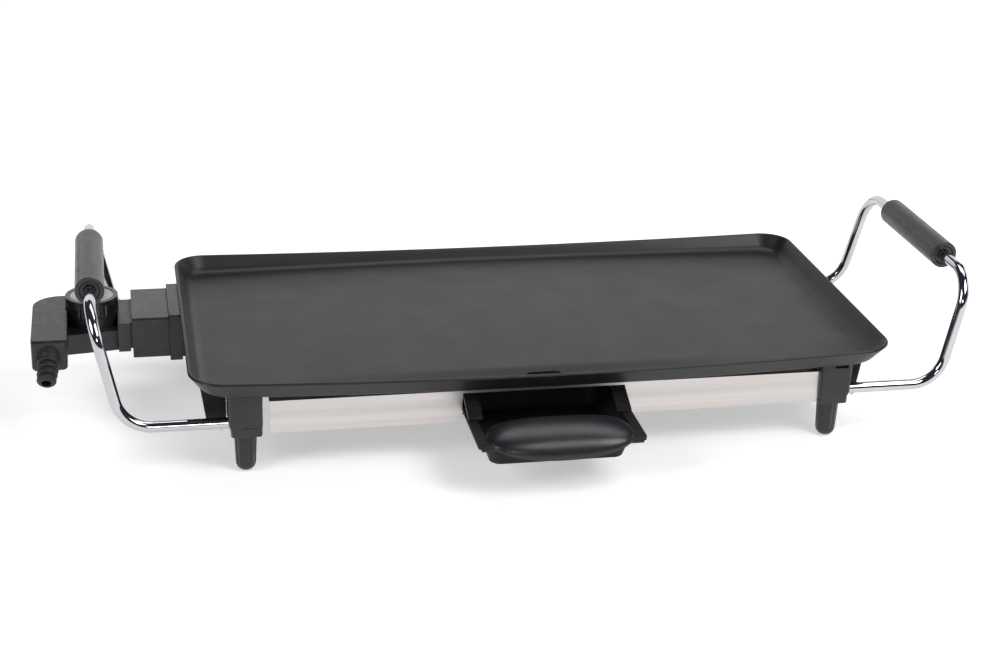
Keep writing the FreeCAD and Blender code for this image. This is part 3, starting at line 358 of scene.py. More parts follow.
materials = {}
for finishName, finishValues in finishes.items():
    whole = makeFinish(finishName, finishValues)
    # second finish for the bevels: wear and a painted edge highlight
    broken = makeFinish(finishName + "_edge", finishValues, worn=True)
    materials[finishName] = (whole, broken)
print("finishes made:", len(materials))


def dress(obj, finish):
    obj.data.materials.clear()
    for material in materials[finish]:
        obj.data.materials.append(material)


def done(obj, body, slot, *nodes):
    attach(obj, body)
    if nodes:
        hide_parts(*nodes)


# the plate: outline, rim, dished wall and cooking floor, then outer wall and underside

plateShape = {
    "halfLength": 230.0, "halfWidth": 116.0, "corner": 22.0, "cornerSteps": 12,
    "bow": 2.7, "sag": 3.9, "rim": 70.3, "rimEdge": 69.0, "floor": 59.3,
    # from the rim's outer edge inwards: how far in, and at what height
    "rimRound": [(0.25, 69.75), (0.75, 70.2), (1.3, 70.3), (1.85, 70.2), (2.35, 69.75), (2.65, 69.0)],
    "wallFoot": 9.2, "filletR": 8.0, "filletSteps": 7, "floorInset": 0.8,
    "depth": 11.7, "flare": 7.5, "underRound": 2.2, "underLift": 0.7, "underAngle": 0.6,
    "cuts": 18,
    # gutter: along the front, falling forwards and towards the drain from both ends
    "gutterLeft": -165.0, "gutterRight": 150.0, "gutterLow": -4.0, "gutterDepth": 1.6, "gutterFade": 6.0,
    "gutterBack": -84.0, "gutterFront": -101.0, "gutterCuts": [-84, -87, -90, -93, -96, -99, -102, -105],
}


def wallProfile(shape):
    points = list(shape["rimRound"])
    topIn, topZ = points[-1]
    run, fall = shape["wallFoot"] - topIn, topZ - shape["floor"]
    slope = atan2(fall, run)
    reach = shape["filletR"] * tan(slope / 2)
    middleIn = shape["wallFoot"] + reach
    for step in range(shape["filletSteps"] + 1):
        lean = slope * (1 - step / shape["filletSteps"])
        points.append((middleIn - shape["filletR"] * sin(lean),
                       shape["floor"] + shape["filletR"] * (1 - cos(lean))))
    points.append((middleIn + shape["floorInset"], shape["floor"]))
    return points


def makePlate(shape):
    low = at(-shape["halfLength"], -shape["halfWidth"], shape["rimEdge"])
    high = at(shape["halfLength"], shape["halfWidth"], shape["rimEdge"])
    bpy.ops.object.select_all(action="DESELECT")
    bpy.ops.mesh.primitive_plane_add(size=1, location=(low + high) / 2, scale=(1, 1, 1))
    obj = bpy.context.object
    obj.scale = (high.x - low.x, high.y - low.y, 1)
    settle(obj, "griddlePlate")

    edit(obj)
    bpy.ops.mesh.select_all(action="SELECT")
    bpy.ops.mesh.bevel(
        offset=shape["corner"] * mm, segments=shape["cornerSteps"], affect="VERTICES")
    bpy.ops.mesh.select_mode(type="FACE")
    bpy.ops.mesh.select_all(action="SELECT")
    inset, height = 0, shape["rimEdge"]
    for nextInset, nextHeight in wallProfile(shape):
        bpy.ops.mesh.inset(
            thickness=(nextInset - inset) * mm, depth=(nextHeight - height) * mm, use_even_offset=True)
        inset, height = nextInset, nextHeight
    for step in range(1, shape["cuts"]):
        x = shape["halfLength"] * (2 * step / shape["cuts"] - 1)
        cutAcross(at(x, 0, 0), (1, 0, 0))
    for x in (shape["gutterLeft"], shape["gutterLow"], shape["gutterRight"]):
        cutAcross(at(x, 0, 0), (1, 0, 0))
    for y in shape["gutterCuts"]:
        cutAcross(at(0, y, 0), (0, 1, 0))
    leaveEdit()

    for v in obj.data.vertices:
        x, y, z = back(v.co)
        left, right, low = shape["gutterLeft"], shape["gutterRight"], shape["gutterLow"]
        along = (x - left) / (low - left) if x < low else (right - x) / (right - low)
        across = (shape["gutterBack"] - y) / (shape["gutterBack"] - shape["gutterFront"])
        along, across = min(1, max(0, along)), min(1, max(0, across))
        fade = min(1, max(0, 1 - (z - shape["floor"]) / shape["gutterFade"]))
        # eases in and out, so the dip has no crease
        across = across * across * (3 - 2 * across)
        v.co.z -= shape["gutterDepth"] * along * across * fade * mm

    # long sides bow out, and the rim sags a little towards the middle
    for v in obj.data.vertices:
        x, y, z = back(v.co)
        along = max(0, 1 - (x / (shape["halfLength"] - shape["corner"])) ** 2)
        y *= 1 + shape["bow"] / shape["halfWidth"] * along
        weight = min(1, max(0, (z - shape["floor"]) / (shape["rimEdge"] - shape["floor"])))
        z -= shape["sag"] * (1 - (x / shape["halfLength"]) ** 2) * weight
        v.co = at(x, y, z)

    edit(obj)
    pick("EDGE", lambda e: e.is_boundary)
    push((0, 0, -shape["depth"] * mm))
    grow(1 - shape["flare"] / shape["halfLength"], 1 - shape["flare"] / shape["halfWidth"], 1,
         at(0, 0, 0))
    for v in bmesh.from_edit_mesh(obj.data).verts:
        if v.select:
            v.co.z += shape["underLift"] * (1 - (back(v.co).x / shape["halfLength"]) ** 2) * mm
    bpy.ops.mesh.edge_face_add()
    for step in range(1, shape["cuts"]):
        x = shape["halfLength"] * (2 * step / shape["cuts"] - 1)
        pick("FACE", lambda f: f.normal.z < -0.9)
        bpy.ops.mesh.bisect(plane_co=at(x, 0, 0), plane_no=(1, 0, 0))
    bpy.ops.mesh.select_all(action="SELECT")
    bpy.ops.mesh.remove_doubles(threshold=0.00001)
    bpy.ops.mesh.normals_make_consistent(inside=False)
    pick("EDGE", lambda e: len(e.link_faces) == 2 and e.calc_face_angle() > shape["underAngle"]
         and min(f.normal.z for f in e.link_faces) < -0.9)
    bpy.ops.mesh.bevel(offset=shape["underRound"] * mm, segments=4, affect="EDGES")
    leaveEdit()
    return obj


plate = makePlate(plateShape)
print("plate outline, rim and floor")

plateDetails = {
    "drainX": -4.0, "drainY": -100.0, "drainLength": 24.0, "drainWidth": 9.0,
    "legBosses": (194.9, 90.75, 6.0, 51.0), "stripBosses": (120.0, 84.0, 5.0, 52.0),
    "railLeft": -150.0, "railRight": 160.0, "railY": 62.0, "railHalf": 6.0, "railLow": 50.8,
    "groove": 3.35, "grooveOver": 5.0, "bossTop": 57.5, "bossEdge": 0.5, "railEdge": 3.0,
    "slotLow": 45.0, "slotHigh": 65.0,
}


def addUnderside(obj, d):
    fixings = []
    for x, y, radius, low in (d["legBosses"], d["stripBosses"]):
        fixings += [(sx * x, sy * y, radius, low) for sx in (-1, 1) for sy in (-1, 1)]
    for number, (x, y, radius, low) in enumerate(fixings):
        boss = newDrum("boss%d" % number, radius * mm, at(x, y, low), at(x, y, d["bossTop"]), 32)
        edit(boss)
        pick("EDGE", lambda e: all(v.co.z < (low + 0.1) * mm for v in e.verts))
        bpy.ops.mesh.bevel(offset=d["bossEdge"] * mm, segments=2, affect="EDGES")
        leaveEdit()
        combine(obj, boss, "UNION")
    for side in (-1, 1):
        y = side * d["railY"]
        rail = newBlock("rail", at(d["railLeft"], y - d["railHalf"], d["railLow"]),
                        at(d["railRight"], y + d["railHalf"], d["bossTop"]))
        edit(rail)
        pick("EDGE", lambda e: abs((e.verts[0].co - e.verts[1].co).z) > 0.004)
        bpy.ops.mesh.bevel(offset=d["railEdge"] * mm, segments=4, affect="EDGES")
        leaveEdit()
        combine(obj, rail, "UNION")
        groove = newDrum("groove", d["groove"] * mm, at(d["railLeft"] - d["grooveOver"], y, d["railLow"]),
                         at(d["railRight"] + d["grooveOver"], y, d["railLow"]), 32)
        combine(obj, groove, "DIFFERENCE")


def cutDrain(obj, d):
    wide, low, high = d["drainWidth"] / 2, d["slotLow"], d["slotHigh"]
    half = d["drainLength"] / 2 - wide
    slot = newBlock("slot", at(d["drainX"] - half, d["drainY"] - wide, low),
                    at(d["drainX"] + half, d["drainY"] + wide, high))
    for side in (-1, 1):
        x = d["drainX"] + side * half
        combine(slot, newDrum("slotEnd", wide * mm, at(x, d["drainY"], low),
                              at(x, d["drainY"], high), 32), "UNION")
    combine(obj, slot, "DIFFERENCE")


addUnderside(plate, plateDetails)
cutDrain(plate, plateDetails)
dress(plate, "nonstick_plate")
roundOff(plate, 0.35, segments=2, angle=42)
smooth(plate, 42)
done(plate, "griddle", "nonstick_plate", "griddle_plate")
print("plate finished:", len(plate.data.polygons), "faces")


# legs, feet and handles

legShape = {"edge": 0.5}


def makeLegs():
    for end in ("front", "rear"):
        for side in ("left", "right"):
            node = "leg_%s_%s" % (end, side)
            leg = copyFrom(node, "leg" + end.title() + side.title())
            dress(leg, "bakelite")
            roundOff(leg, legShape["edge"], segments=3)
            smooth(leg)
            done(leg, "griddle", "bakelite", node)


makeLegs()
print("legs")

footShape = {
    "x": 194.9, "y": 90.75, "sides": 60, "flutes": 10, "fluteDepth": 0.55,
    "fluteLow": 5.5, "fluteHigh": 25.0, "fluteRadius": 7.0, "besideFlute": 0.75,
    # radius at each height, from the top down
    "turned": [(26.55, 7.2), (26.2, 7.5), (25.6, 7.5), (24.9, 7.45), (20.0, 7.2), (14.0, 6.95), (8.5, 6.75),
               (6.0, 6.65), (4.5, 6.5), (3.0, 6.15), (1.6, 5.4), (0.6, 4.3), (0.1, 3.4), (0.0, 3.0)],
}


def makeFoot(d):
    top, radius = d["turned"][0]
    centre = at(d["x"], d["y"], 0)
    foot = newRing("foot", radius * mm, at(d["x"], d["y"], top), Vector((0, 0, 1)), d["sides"], "NGON")
    edit(foot)
    bpy.ops.mesh.select_all(action="SELECT")
    for height, nextRadius in d["turned"][1:]:
        push((0, 0, (height - top) * mm))
        grow(nextRadius / radius, nextRadius / radius, 1, centre)
        top, radius = height, nextRadius
    bpy.ops.mesh.select_all(action="SELECT")
    bpy.ops.mesh.normals_make_consistent(inside=False)
    # hollow flutes between round ribs
    perFlute = d["sides"] // d["flutes"]
    for hollow, depth in ((0, 1.0), (1, d["besideFlute"]), (perFlute - 1, d["besideFlute"])):
        def inFlute(v):
            place = back(v.co) - Vector((d["x"], d["y"], 0))
            column = round(atan2(place.y, place.x) / (2 * pi) * d["sides"]) % perFlute
            return column == hollow and d["fluteLow"] < place.z < d["fluteHigh"]
        pick("VERT", inFlute)
        pull = 1 - d["fluteDepth"] * depth / d["fluteRadius"]
        grow(pull, pull, 1, centre)
    leaveEdit()
    return foot


firstFoot = makeFoot(footShape)
for end, signY in (("front", -1), ("rear", 1)):
    for side, signX in (("left", -1), ("right", 1)):
        foot = firstFoot.copy()
        foot.data = firstFoot.data.copy()
        bpy.context.scene.collection.objects.link(foot)
        foot.location = ((signX - 1) * footShape["x"] * mm, (signY - 1) * footShape["y"] * mm, 0)
        settle(foot, "foot" + end.title() + side.title())
        dress(foot, "foot_plastic")
        subdivide(foot, 1)
        smooth(foot, 60)
        done(foot, "griddle", "foot_plastic", "foot_%s_%s" % (end, side))
bpy.data.objects.remove(firstFoot)
print("feet")

handleShape = {
    "radius": 3.6, "sides": 28, "bend": 23.4, "bendSteps": 14,
    "start": (198.6, -94.1, 33.9), "corner": (270.8, -94.1, 33.9), "top": (287.3, -89.4, 107.8),
    "stopX": 210.2, "stopHalf": 1.0, "stopDeep": 1.2, "stopDrop": 4.7, "stopEdge": 0.35,
}


# a ring drawn along straight runs and spun round each bend
def makeWire(name, points, d):
    here = points[0]
    wire = newRing(name, d["radius"] * mm, here, points[1] - here, d["sides"])
    edit(wire)
    bpy.ops.mesh.select_all(action="SELECT")
    bpy.ops.mesh.edge_face_add()
    pick("EDGE", lambda e: True)
    for before, corner, after in zip(points, points[1:], points[2:]):
        arriving = (corner - before).normalized()
        leaving = (after - corner).normalized()
        turn = arriving.angle(leaving)
        reach = d["bend"] * mm * tan(turn / 2)
        push(corner - arriving * reach - here)
        inward = (leaving - arriving).normalized()
        centre = corner + inward * (d["bend"] * mm / cos(turn / 2))
        bpy.ops.mesh.spin(steps=d["bendSteps"], angle=-turn, center=centre,
                          axis=arriving.cross(leaving).normalized())
        here = corner + leaving * reach
    push(points[-1] - here)
    bpy.ops.mesh.edge_face_add()
    bpy.ops.mesh.select_all(action="SELECT")
    bpy.ops.mesh.normals_make_consistent(inside=False)
    leaveEdit()
    return wire


def makeHandle(side, sign, d):
    points = [at(sign * x, y, z) for x, y, z in (d["start"], d["corner"], d["top"])]
    points += [at(sign * x, -y, z) for x, y, z in (d["top"], d["corner"], d["start"])]
    wire = makeWire("handleRod" + side.title(), points, d)
    for end in (-1, 1):
        x, y, z = sign * d["stopX"], end * d["start"][1], d["start"][2]
        stop = newBlock("stop", at(x - d["stopHalf"], y - d["stopDeep"], z - d["stopDrop"]),
                        at(x + d["stopHalf"], y + d["stopDeep"], z))
        edit(stop)
        pick("EDGE", lambda e: True)
        bpy.ops.mesh.bevel(offset=d["stopEdge"] * mm, segments=2, affect="EDGES")
        leaveEdit()
        combine(wire, stop, "UNION")
    dress(wire, "chrome_wire")
    smooth(wire, 50)
    done(wire, "griddle", "chrome_wire", "handle_rod_" + side)


for handleSide, handleSign in (("left", -1), ("right", 1)):
    makeHandle(handleSide, handleSign, handleShape)
print("handle wires")

gripShape = {
    "x": 287.3, "z": 107.8, "radius": 9.25, "half": 46.2, "sides": 72, "edge": 1.4,
    "lip": 2.6, "slope": 0.6, "recess": 1.3, "hole": 3.7, "holeDepth": 3.0,
}


def makeGrip(side, sign, d):
    start, end = at(sign * d["x"], -d["half"], d["z"]), at(sign * d["x"], d["half"], d["z"])
    grip = newDrum("handleGrip" + side.title(), d["radius"] * mm, start, end, d["sides"])
    edit(grip)
    for direction in (-1, 1):
        pick("FACE", lambda f: f.normal.y * direction > 0.9)
        bpy.ops.mesh.inset(thickness=d["lip"] * mm)
        bpy.ops.mesh.inset(thickness=d["slope"] * mm, depth=-d["recess"] * mm)
        bpy.ops.mesh.inset(thickness=(d["radius"] - d["lip"] - d["slope"] - d["hole"]) * mm)
        bpy.ops.mesh.inset(thickness=sheer * mm, depth=-d["holeDepth"] * mm)
    leaveEdit()
    dress(grip, "grip_plastic")
    roundOff(grip, d["edge"], segments=5, angle=50, worn=False)
    smooth(grip, 40)
    done(grip, "griddle", "grip_plastic", "handle_grip_" + side)


for handleSide, handleSign in (("left", -1), ("right", 1)):
    makeGrip(handleSide, handleSign, gripShape)
print("grips")


# pieces whose shape is settled by their drawing: the copy gets broken edges and its finish
# body, slot, edge width

drawnPieces = {
    "front_strip": ("griddle", "brushed_strip", 0.22), "rear_strip": ("griddle", "brushed_strip", 0.22),
    "end_panel_left": ("griddle", "black_sheet", 0.35), "end_panel_right": ("griddle", "black_sheet", 0.35),
    "tray_guide": ("griddle", "bakelite", 0.5), "socket_shroud": ("griddle", "bakelite", 0.5),
    "socket_collar": ("griddle", "bakelite", 0.6), "drip_tray": ("tray", "tray_plastic", 0.5),
    "housing_base": ("thermostat", "thermostat_plastic", 0.6),
    "housing_cover": ("thermostat", "thermostat_plastic", 0.8),
    "plug_insert": ("thermostat", "thermostat_plastic", 0.4),
}


def pieceName(node):
    first, *others = node.split("_")
    return first + "".join(word.title() for word in others)


# the narrow bridge over the tray leans back, so it catches the light
bridgeLean = {"above": 48.6, "before": -98.1, "lean": 0.55}


def leanBridge(strip):
    for v in strip.data.vertices:
        place = back(v.co)
        if place.z > bridgeLean["above"] and place.y < bridgeLean["before"]:
            v.co.y += bridgeLean["lean"] * mm


for node, (body, slotName, width) in drawnPieces.items():
    piece = copyFrom(node, pieceName(node))
    if node == "front_strip":
        leanBridge(piece)
    dress(piece, slotName)
    roundOff(piece, width)
    smooth(piece)
    done(piece, body, slotName, node)
print("drawn pieces")


# tray pull: a hood that swells forwards over the front of the tray, hollow behind

pullShape = {
    "x": -3.0, "half": 48.4, "back": -135.0, "front": -163.2, "level": 36.2, "high": 45.2, "low": 27.8,
    "across": 96, "down": 26, "wall": 2.0, "backFoot": 35.0, "edge": 0.5,
    # how far the ends draw in towards the back, and how soon that stops
    "pinch": 0.07, "pinchReach": 1.8,
    # how square the outline is: seen from above, and its upper and lower edges seen from the front
    "planFull": 4.0, "topFull": 3.2, "lowFull": 2.3, "sectionFull": 2.2,
}


def makePull(d):
    bpy.ops.object.select_all(action="DESELECT")
    bpy.ops.mesh.primitive_grid_add(x_subdivisions=d["across"], y_subdivisions=d["down"], size=2)
    pull = settle(bpy.context.object, "trayPull")
    for v in pull.data.vertices:
        along = sin(v.co.x * pi / 2)
        turn = (v.co.y + 1) / 2 * pi / 2
        front = (1 - abs(along) ** d["planFull"]) ** (1 / d["planFull"])
        high = d["level"] + (d["high"] - d["level"]) * (1 - abs(along) ** d["topFull"]) ** 0.5
        low = d["level"] - (d["level"] - d["low"]) * (1 - abs(along) ** d["lowFull"])
        out, up = max(0, sin(turn)) ** (2 / d["sectionFull"]), max(0, cos(turn)) ** (2 / d["sectionFull"])
        waist = 1 - d["pinch"] * (1 - min(1, d["pinchReach"] * front * out)) ** 2
        v.co = at(d["x"] + along * d["half"] * waist, d["back"] + (d["front"] - d["back"]) * front * out,
                  low + (high - low) * up)
    edit(pull)
    pick("EDGE", lambda e: e.is_boundary and all(abs(back(v.co).y - d["back"]) < 0.01 for v in e.verts)
         and middleOf(e).z > d["level"])
    # the back edge folds down, and all of it ends at one height
    push((0, 0, (d["backFoot"] - d["level"]) * mm))
    for v in bmesh.from_edit_mesh(pull.data).verts:
        if v.select:
            v.co.z = d["backFoot"] * mm
    bpy.ops.mesh.select_all(action="SELECT")
    bpy.ops.mesh.remove_doubles(threshold=0.00003)
    bpy.ops.mesh.normals_make_consistent(inside=False)
    leaveEdit()
    upwards = sum(face.normal.z * face.area for face in pull.data.polygons)
    if upwards < 0:
        pull.data.flip_normals()
    step = pull.modifiers.new("wall", "SOLIDIFY")
    step.thickness = d["wall"] * mm
    step.offset = -1
    applyAll(pull)
    dress(pull, "gloss_pull")
    roundOff(pull, d["edge"], segments=3, angle=40)
    smooth(pull, 40)
    done(pull, "tray", "gloss_pull", "tray_handle")


makePull(pullShape)
print("tray pull")


# control dial: fluted knob, silver face with a printed scale and a red wedge

dialShape = {
    "x": -287.5, "y": 37.6, "radius": 17.5, "low": 62.0, "high": 73.2, "face": 14.3,
    "sides": 150, "flutes": 30, "fluteDepth": 0.8, "fluteTop": 70.8, "fluteStep": 0.8,
    "skirt": 1.0, "hub": 10.0, "edge": 0.35, "well": 0.75, "wellWall": 0.15, "under": 1.6, "underStep": 0.3,
}


def makeDial(d):
    centre = at(d["x"], d["y"], 0)
    dial = newDrum("controlDial", d["radius"] * mm, at(d["x"], d["y"], d["low"]),
                   at(d["x"], d["y"], d["high"]), d["sides"])
    edit(dial)
    for height in (d["low"] + d["skirt"], d["fluteTop"] - d["fluteStep"], d["fluteTop"]):
        cutAcross(at(0, 0, height), (0, 0, 1))
    perFlute = d["sides"] // d["flutes"]

    def inFlute(v):
        place = back(v.co) - Vector((d["x"], d["y"], 0))
        turn = atan2(place.y, place.x) / (2 * pi) * d["sides"]
        flat = (place.x ** 2 + place.y ** 2) ** 0.5
        between = d["low"] + d["skirt"] / 2 < place.z < d["fluteTop"] - d["fluteStep"] / 2
        return round(turn) % perFlute == 0 and between and flat > d["hub"]

    pick("VERT", inFlute)
    pull = 1 - d["fluteDepth"] / d["radius"]
    grow(pull, pull, 1, centre)
    pick("FACE", lambda f: f.normal.z > 0.9 and middleOf(f).z > d["high"] - 0.1)
    bpy.ops.mesh.inset(thickness=(d["radius"] - d["face"] - d["wellWall"]) * mm)
    bpy.ops.mesh.inset(thickness=d["wellWall"] * mm, depth=-d["well"] * mm)
    pick("FACE", lambda f: f.normal.z < -0.9)
    bpy.ops.mesh.inset(thickness=d["under"] * mm)
    bpy.ops.mesh.inset(thickness=sheer * mm, depth=-d["underStep"] * mm)
    leaveEdit()
    dress(dial, "dial_plastic")
    roundOff(dial, d["edge"], segments=3, angle=50)
    smooth(dial, 45)
    done(dial, "dial", "dial_plastic", "control_dial")


makeDial(dialShape)


# heights are below the top of the dial
faceShape = {"gap": 0.05, "low": 0.8, "high": 0.35, "sides": 120, "edge": 0.3, "rise": 0.06,
             "band": 7.2, "groove": 0.4, "sink": 0.15}


def makeDialFace(d, f):
    face = newDrum("dialFace", (d["face"] - f["gap"]) * mm, at(d["x"], d["y"], d["high"] - f["low"]),
                   at(d["x"], d["y"], d["high"] - f["high"]), f["sides"])
    edit(face)
    pick("FACE", lambda side: side.normal.z > 0.9)
    bpy.ops.mesh.inset(thickness=f["edge"] * mm, depth=f["rise"] * mm)
    bpy.ops.mesh.inset(thickness=f["band"] * mm)
    bpy.ops.mesh.inset(thickness=f["groove"] * mm, depth=-f["sink"] * mm)
    leaveEdit()
    dress(face, "dial_silver")
    smooth(face, 30)
    done(face, "dial", "dial_silver", "dial_face")


makeDialFace(dialShape, faceShape)

scaleMarks = {"words": ("0", "1", "2", "3", "4", "5"), "from": -150.0, "step": 54.0, "ring": 10.6,
              "below": 0.27, "height": 2.8, "raise": 0.03, "ticks": 26, "tickRing": 13.2,
              "tickWidth": 0.22, "tickLength": 0.7, "longTick": 1.3, "longEvery": 5,
              "wedgeFrom": -50.0, "wedgeTo": 40.0, "wedgeRing": 12.2, "wedgeSides": 160,
              "wedgeThin": 0.25, "wedgeSwell": 1.3}


def joinUp(name, parts):
    choose(parts[0])
    for part in parts:
        part.select_set(True)
    bpy.ops.object.join()
    return settle(bpy.context.object, name)


def makeScale(d, s):
    top = d["high"] - s["below"]

    def around(ring, angle):
        return at(d["x"] + ring * cos(angle), d["y"] + ring * sin(angle), top)

    def bearing(v):
        place = back(v.co)
        return degrees(atan2(place.y - d["y"], place.x - d["x"]))

    parts = []
    for number, word in enumerate(s["words"]):
        angle = radians(s["from"] + s["step"] * number)
        bpy.ops.object.select_all(action="DESELECT")
        bpy.ops.object.text_add(location=around(s["ring"], angle), rotation=(0, 0, angle + pi / 2))
        text = bpy.context.object
        text.data.body = word
        text.data.size = s["height"] * mm
        text.data.align_x = "CENTER"
        text.data.align_y = "CENTER"
        text.data.extrude = s["raise"] * mm
        text.data.resolution_u = 3
        bpy.ops.object.convert(target="MESH")
        parts.append(bpy.context.object)
    for tick in range(s["ticks"]):
        angle = radians(s["from"] + s["step"] * (len(s["words"]) - 1) * tick / (s["ticks"] - 1))
        length = s["longTick"] if tick % s["longEvery"] == 0 else s["tickLength"]
        bpy.ops.mesh.primitive_cube_add(
            size=1, location=around(s["tickRing"], angle),
            rotation=(0, 0, angle), scale=(length * mm, s["tickWidth"] * mm, 2 * s["raise"] * mm))
        parts.append(bpy.context.object)
    marks = joinUp("dialScale", parts)
    dress(marks, "scale_ink")
    done(marks, "dial", "dial_silver")

    # red wedge that widens towards the hottest setting
    middle = at(d["x"], d["y"], top - s["raise"])
    wedge = newRing("dialHeatWedge", s["wedgeRing"] * mm, middle, Vector((0, 0, 1)), s["wedgeSides"])
    edit(wedge)
    pick("VERT", lambda v: not s["wedgeFrom"] <= bearing(v) <= s["wedgeTo"])
    bpy.ops.mesh.delete(type="VERT")
    bpy.ops.mesh.select_all(action="SELECT")
    # a second arc, which then moves outwards
    push((0, 0, 0))
    for v in bmesh.from_edit_mesh(wedge.data).verts:
        if v.select:
            place = back(v.co) - Vector((d["x"], d["y"], 0))
            turned = degrees(atan2(place.y, place.x))
            share = (turned - s["wedgeFrom"]) / (s["wedgeTo"] - s["wedgeFrom"])
            width = s["wedgeThin"] + s["wedgeSwell"] * share
            v.co += Vector((place.x, place.y, 0)).normalized() * width * mm
    leaveEdit()
    step = wedge.modifiers.new("thickness", "SOLIDIFY")
    step.thickness = 2 * s["raise"] * mm
    applyAll(wedge)
    dress(wedge, "pointer_red")
    done(wedge, "dial", "dial_silver")


makeScale(dialShape, scaleMarks)
print("dial")


# strain relief: a ribbed rubber sleeve with its cord bore open at the tip

reliefShape = {
    "place": (-315.6, -22.5, 54.6), "drop": 30.0, "turn": 6.0, "sides": 48, "bore": 3.3, "boreDepth": 9.0,
    # distance from the housing and radius
    "ribs": [(-4.5, 6.6), (0.6, 6.5), (1.0, 6.3), (3.9, 5.6), (4.4, 6.8), (4.9, 7.3), (6.3, 7.3),
             (6.9, 6.9), (7.3, 5.4), (8.6, 5.3), (9.1, 6.6), (9.6, 7.0), (11.0, 7.0), (11.5, 6.6),
             (11.9, 5.2), (13.2, 5.1), (13.7, 6.3), (14.2, 6.65), (15.5, 6.65), (16.1, 6.3),
             (16.5, 5.05), (17.7, 5.0), (18.2, 6.0), (18.7, 6.3), (19.9, 6.3), (20.5, 5.95),
             (20.8, 5.1), (21.3, 5.0), (21.6, 4.6)],
}


def makeRelief(d):
    drop, turn = radians(d["drop"]), radians(d["turn"])
    along = Vector((-cos(drop) * sin(turn), -cos(drop) * cos(turn), -sin(drop)))
    root = at(*d["place"])
    reach, radius = d["ribs"][0]
    relief = newRing("strainRelief", radius * mm, root + along * reach * mm, along, d["sides"], "NGON")
    edit(relief)
    bpy.ops.mesh.select_all(action="SELECT")
    for nextReach, nextRadius in d["ribs"][1:]:
        push(along * (nextReach - reach) * mm)
        size = nextRadius / radius
        grow(size, size, size, root + along * nextReach * mm)
        reach, radius = nextReach, nextRadius
    size = d["bore"] / radius
    # a second ring, drawn in to the bore
    push((0, 0, 0))
    grow(size, size, size, root + along * reach * mm)
    push(-along * d["boreDepth"] * mm)
    bpy.ops.mesh.select_all(action="SELECT")
    bpy.ops.mesh.normals_make_consistent(inside=False)
    leaveEdit()
    dress(relief, "relief_rubber")
    smooth(relief, 50)
    done(relief, "thermostat", "relief_rubber", "strain_relief")


makeRelief(reliefShape)
print("strain relief")


# everything else keeps its own mesh and takes its slot's finish

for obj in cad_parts.values():
    old = obj.data.materials[0].name.split(".")[0] if obj.data.materials and obj.data.materials[0] else ""
    if old in materials:
        obj.data.materials[0] = materials[old][0]
print("finishes given")


# floor, light and camera

studio = {
    "floorSize": 14.0, "floorDrop": 0.0005, "floorTone": (0.86, 0.86, 0.86), "floorRough": 0.8,
    "floorGlow": 0.44,
    "room": (0.68, 0.68, 1.0), "roomStrength": 0.06, "backdrop": (1.0, 1.0, 1.0),
    # place, aimed at, size, power
    "lamps": {
        "overhead": ((0.50, 0.60, 1.85), (0.1, 0.0, 0.05), (1.8, 0.9), 14.0),
        "backPanel": ((0.3, 2.3, 0.75), (0.1, 0.0, 0.15), (3.6, 1.3), 16.5),
        "rightPanel": ((2.1, 0.5, 0.55), (0.2, 0.0, 0.10), (1.6, 0.9), 8.0),
        "rightBox": ((0.80, -0.95, 1.35), (0.1, 0.0, 0.05), (0.9, 0.9), 18.0),
        "leftBox": ((-1.50, -0.70, 0.95), (-0.1, 0.0, 0.05), (0.9, 0.8), 12.0),
        "trayFill": ((-0.15, -1.60, 0.60), (0.0, -0.1, 0.04), (0.25, 0.2), 2.0),
    },
}


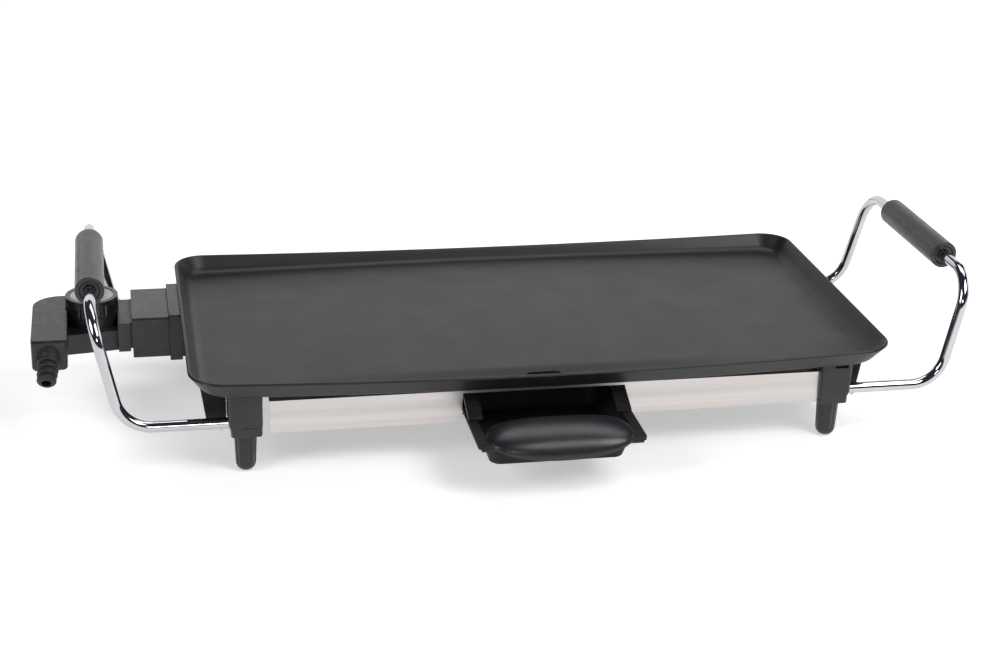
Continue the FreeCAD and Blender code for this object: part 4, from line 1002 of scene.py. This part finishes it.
def makeStudio(d):
    bpy.ops.object.select_all(action="DESELECT")
    bpy.ops.mesh.primitive_plane_add(size=d["floorSize"], location=(0, 0, -d["floorDrop"]))
    floor = settle(bpy.context.object, "floor")
    paint = bpy.data.materials.new("floorPaint")
    paint.use_nodes = True
    shader = paint.node_tree.nodes["Principled BSDF"]
    shader.inputs["Base Color"].default_value = (*d["floorTone"], 1)
    shader.inputs["Roughness"].default_value = d["floorRough"]
    shader.inputs["Emission Color"].default_value = (1, 1, 1, 1)
    shader.inputs["Emission Strength"].default_value = d["floorGlow"]
    floor.data.materials.append(paint)

    # the room is dim, so the wire has something dark to mirror, and plain white where it is seen
    world = bpy.data.worlds.new("studioRoom")
    world.use_nodes = True
    tree = world.node_tree
    room = tree.nodes["Background"]
    room.inputs["Color"].default_value = (*d["room"], 1)
    room.inputs["Strength"].default_value = d["roomStrength"]
    backdrop = tree.nodes.new("ShaderNodeBackground")
    backdrop.inputs["Color"].default_value = (*d["backdrop"], 1)
    either = tree.nodes.new("ShaderNodeMixShader")
    tree.links.new(tree.nodes.new("ShaderNodeLightPath").outputs["Is Camera Ray"], either.inputs["Fac"])
    tree.links.new(room.outputs["Background"], either.inputs[1])
    tree.links.new(backdrop.outputs["Background"], either.inputs[2])
    tree.links.new(either.outputs["Shader"], tree.nodes["World Output"].inputs["Surface"])
    bpy.context.scene.world = world
    for name, (place, aim, size, power) in d["lamps"].items():
        bpy.ops.object.light_add(type="AREA", location=place)
        lamp = bpy.context.object
        lamp.name = name
        lamp.data.shape = "RECTANGLE"
        lamp.data.size, lamp.data.size_y = size
        lamp.data.energy = power
        lamp.visible_camera = False
        lamp.rotation_euler = (Vector(aim) - Vector(place)).to_track_quat("-Z", "Y").to_euler()


makeStudio(studio)

viewPoint = {"place": (-267.956, -1190.734, 551.828), "azimuth": -12.10069, "elevation": 22.54884,
             "roll": 1.91383, "lens": 68.718}


def placeCamera(d):
    azimuth, elevation, roll = radians(d["azimuth"]), radians(d["elevation"]), radians(d["roll"])
    behind = Vector((sin(azimuth) * cos(elevation), -cos(azimuth) * cos(elevation), sin(elevation)))
    right = Vector((cos(azimuth), sin(azimuth), 0))
    up = behind.cross(right)
    rolledRight = right * cos(roll) + up * sin(roll)
    rolledUp = up * cos(roll) - right * sin(roll)
    data = bpy.data.cameras.new("camera")
    data.lens = d["lens"]
    data.sensor_width = 36
    camera = bpy.data.objects.new("camera", data)
    bpy.context.scene.collection.objects.link(camera)
    turn = Matrix((rolledRight, rolledUp, behind)).transposed()
    camera.matrix_world = Matrix.Translation(at(*d["place"])) @ turn.to_4x4()
    bpy.context.scene.camera = camera


placeCamera(viewPoint)
bpy.context.scene.view_settings.view_transform = "Standard"
print("floor, light and camera")
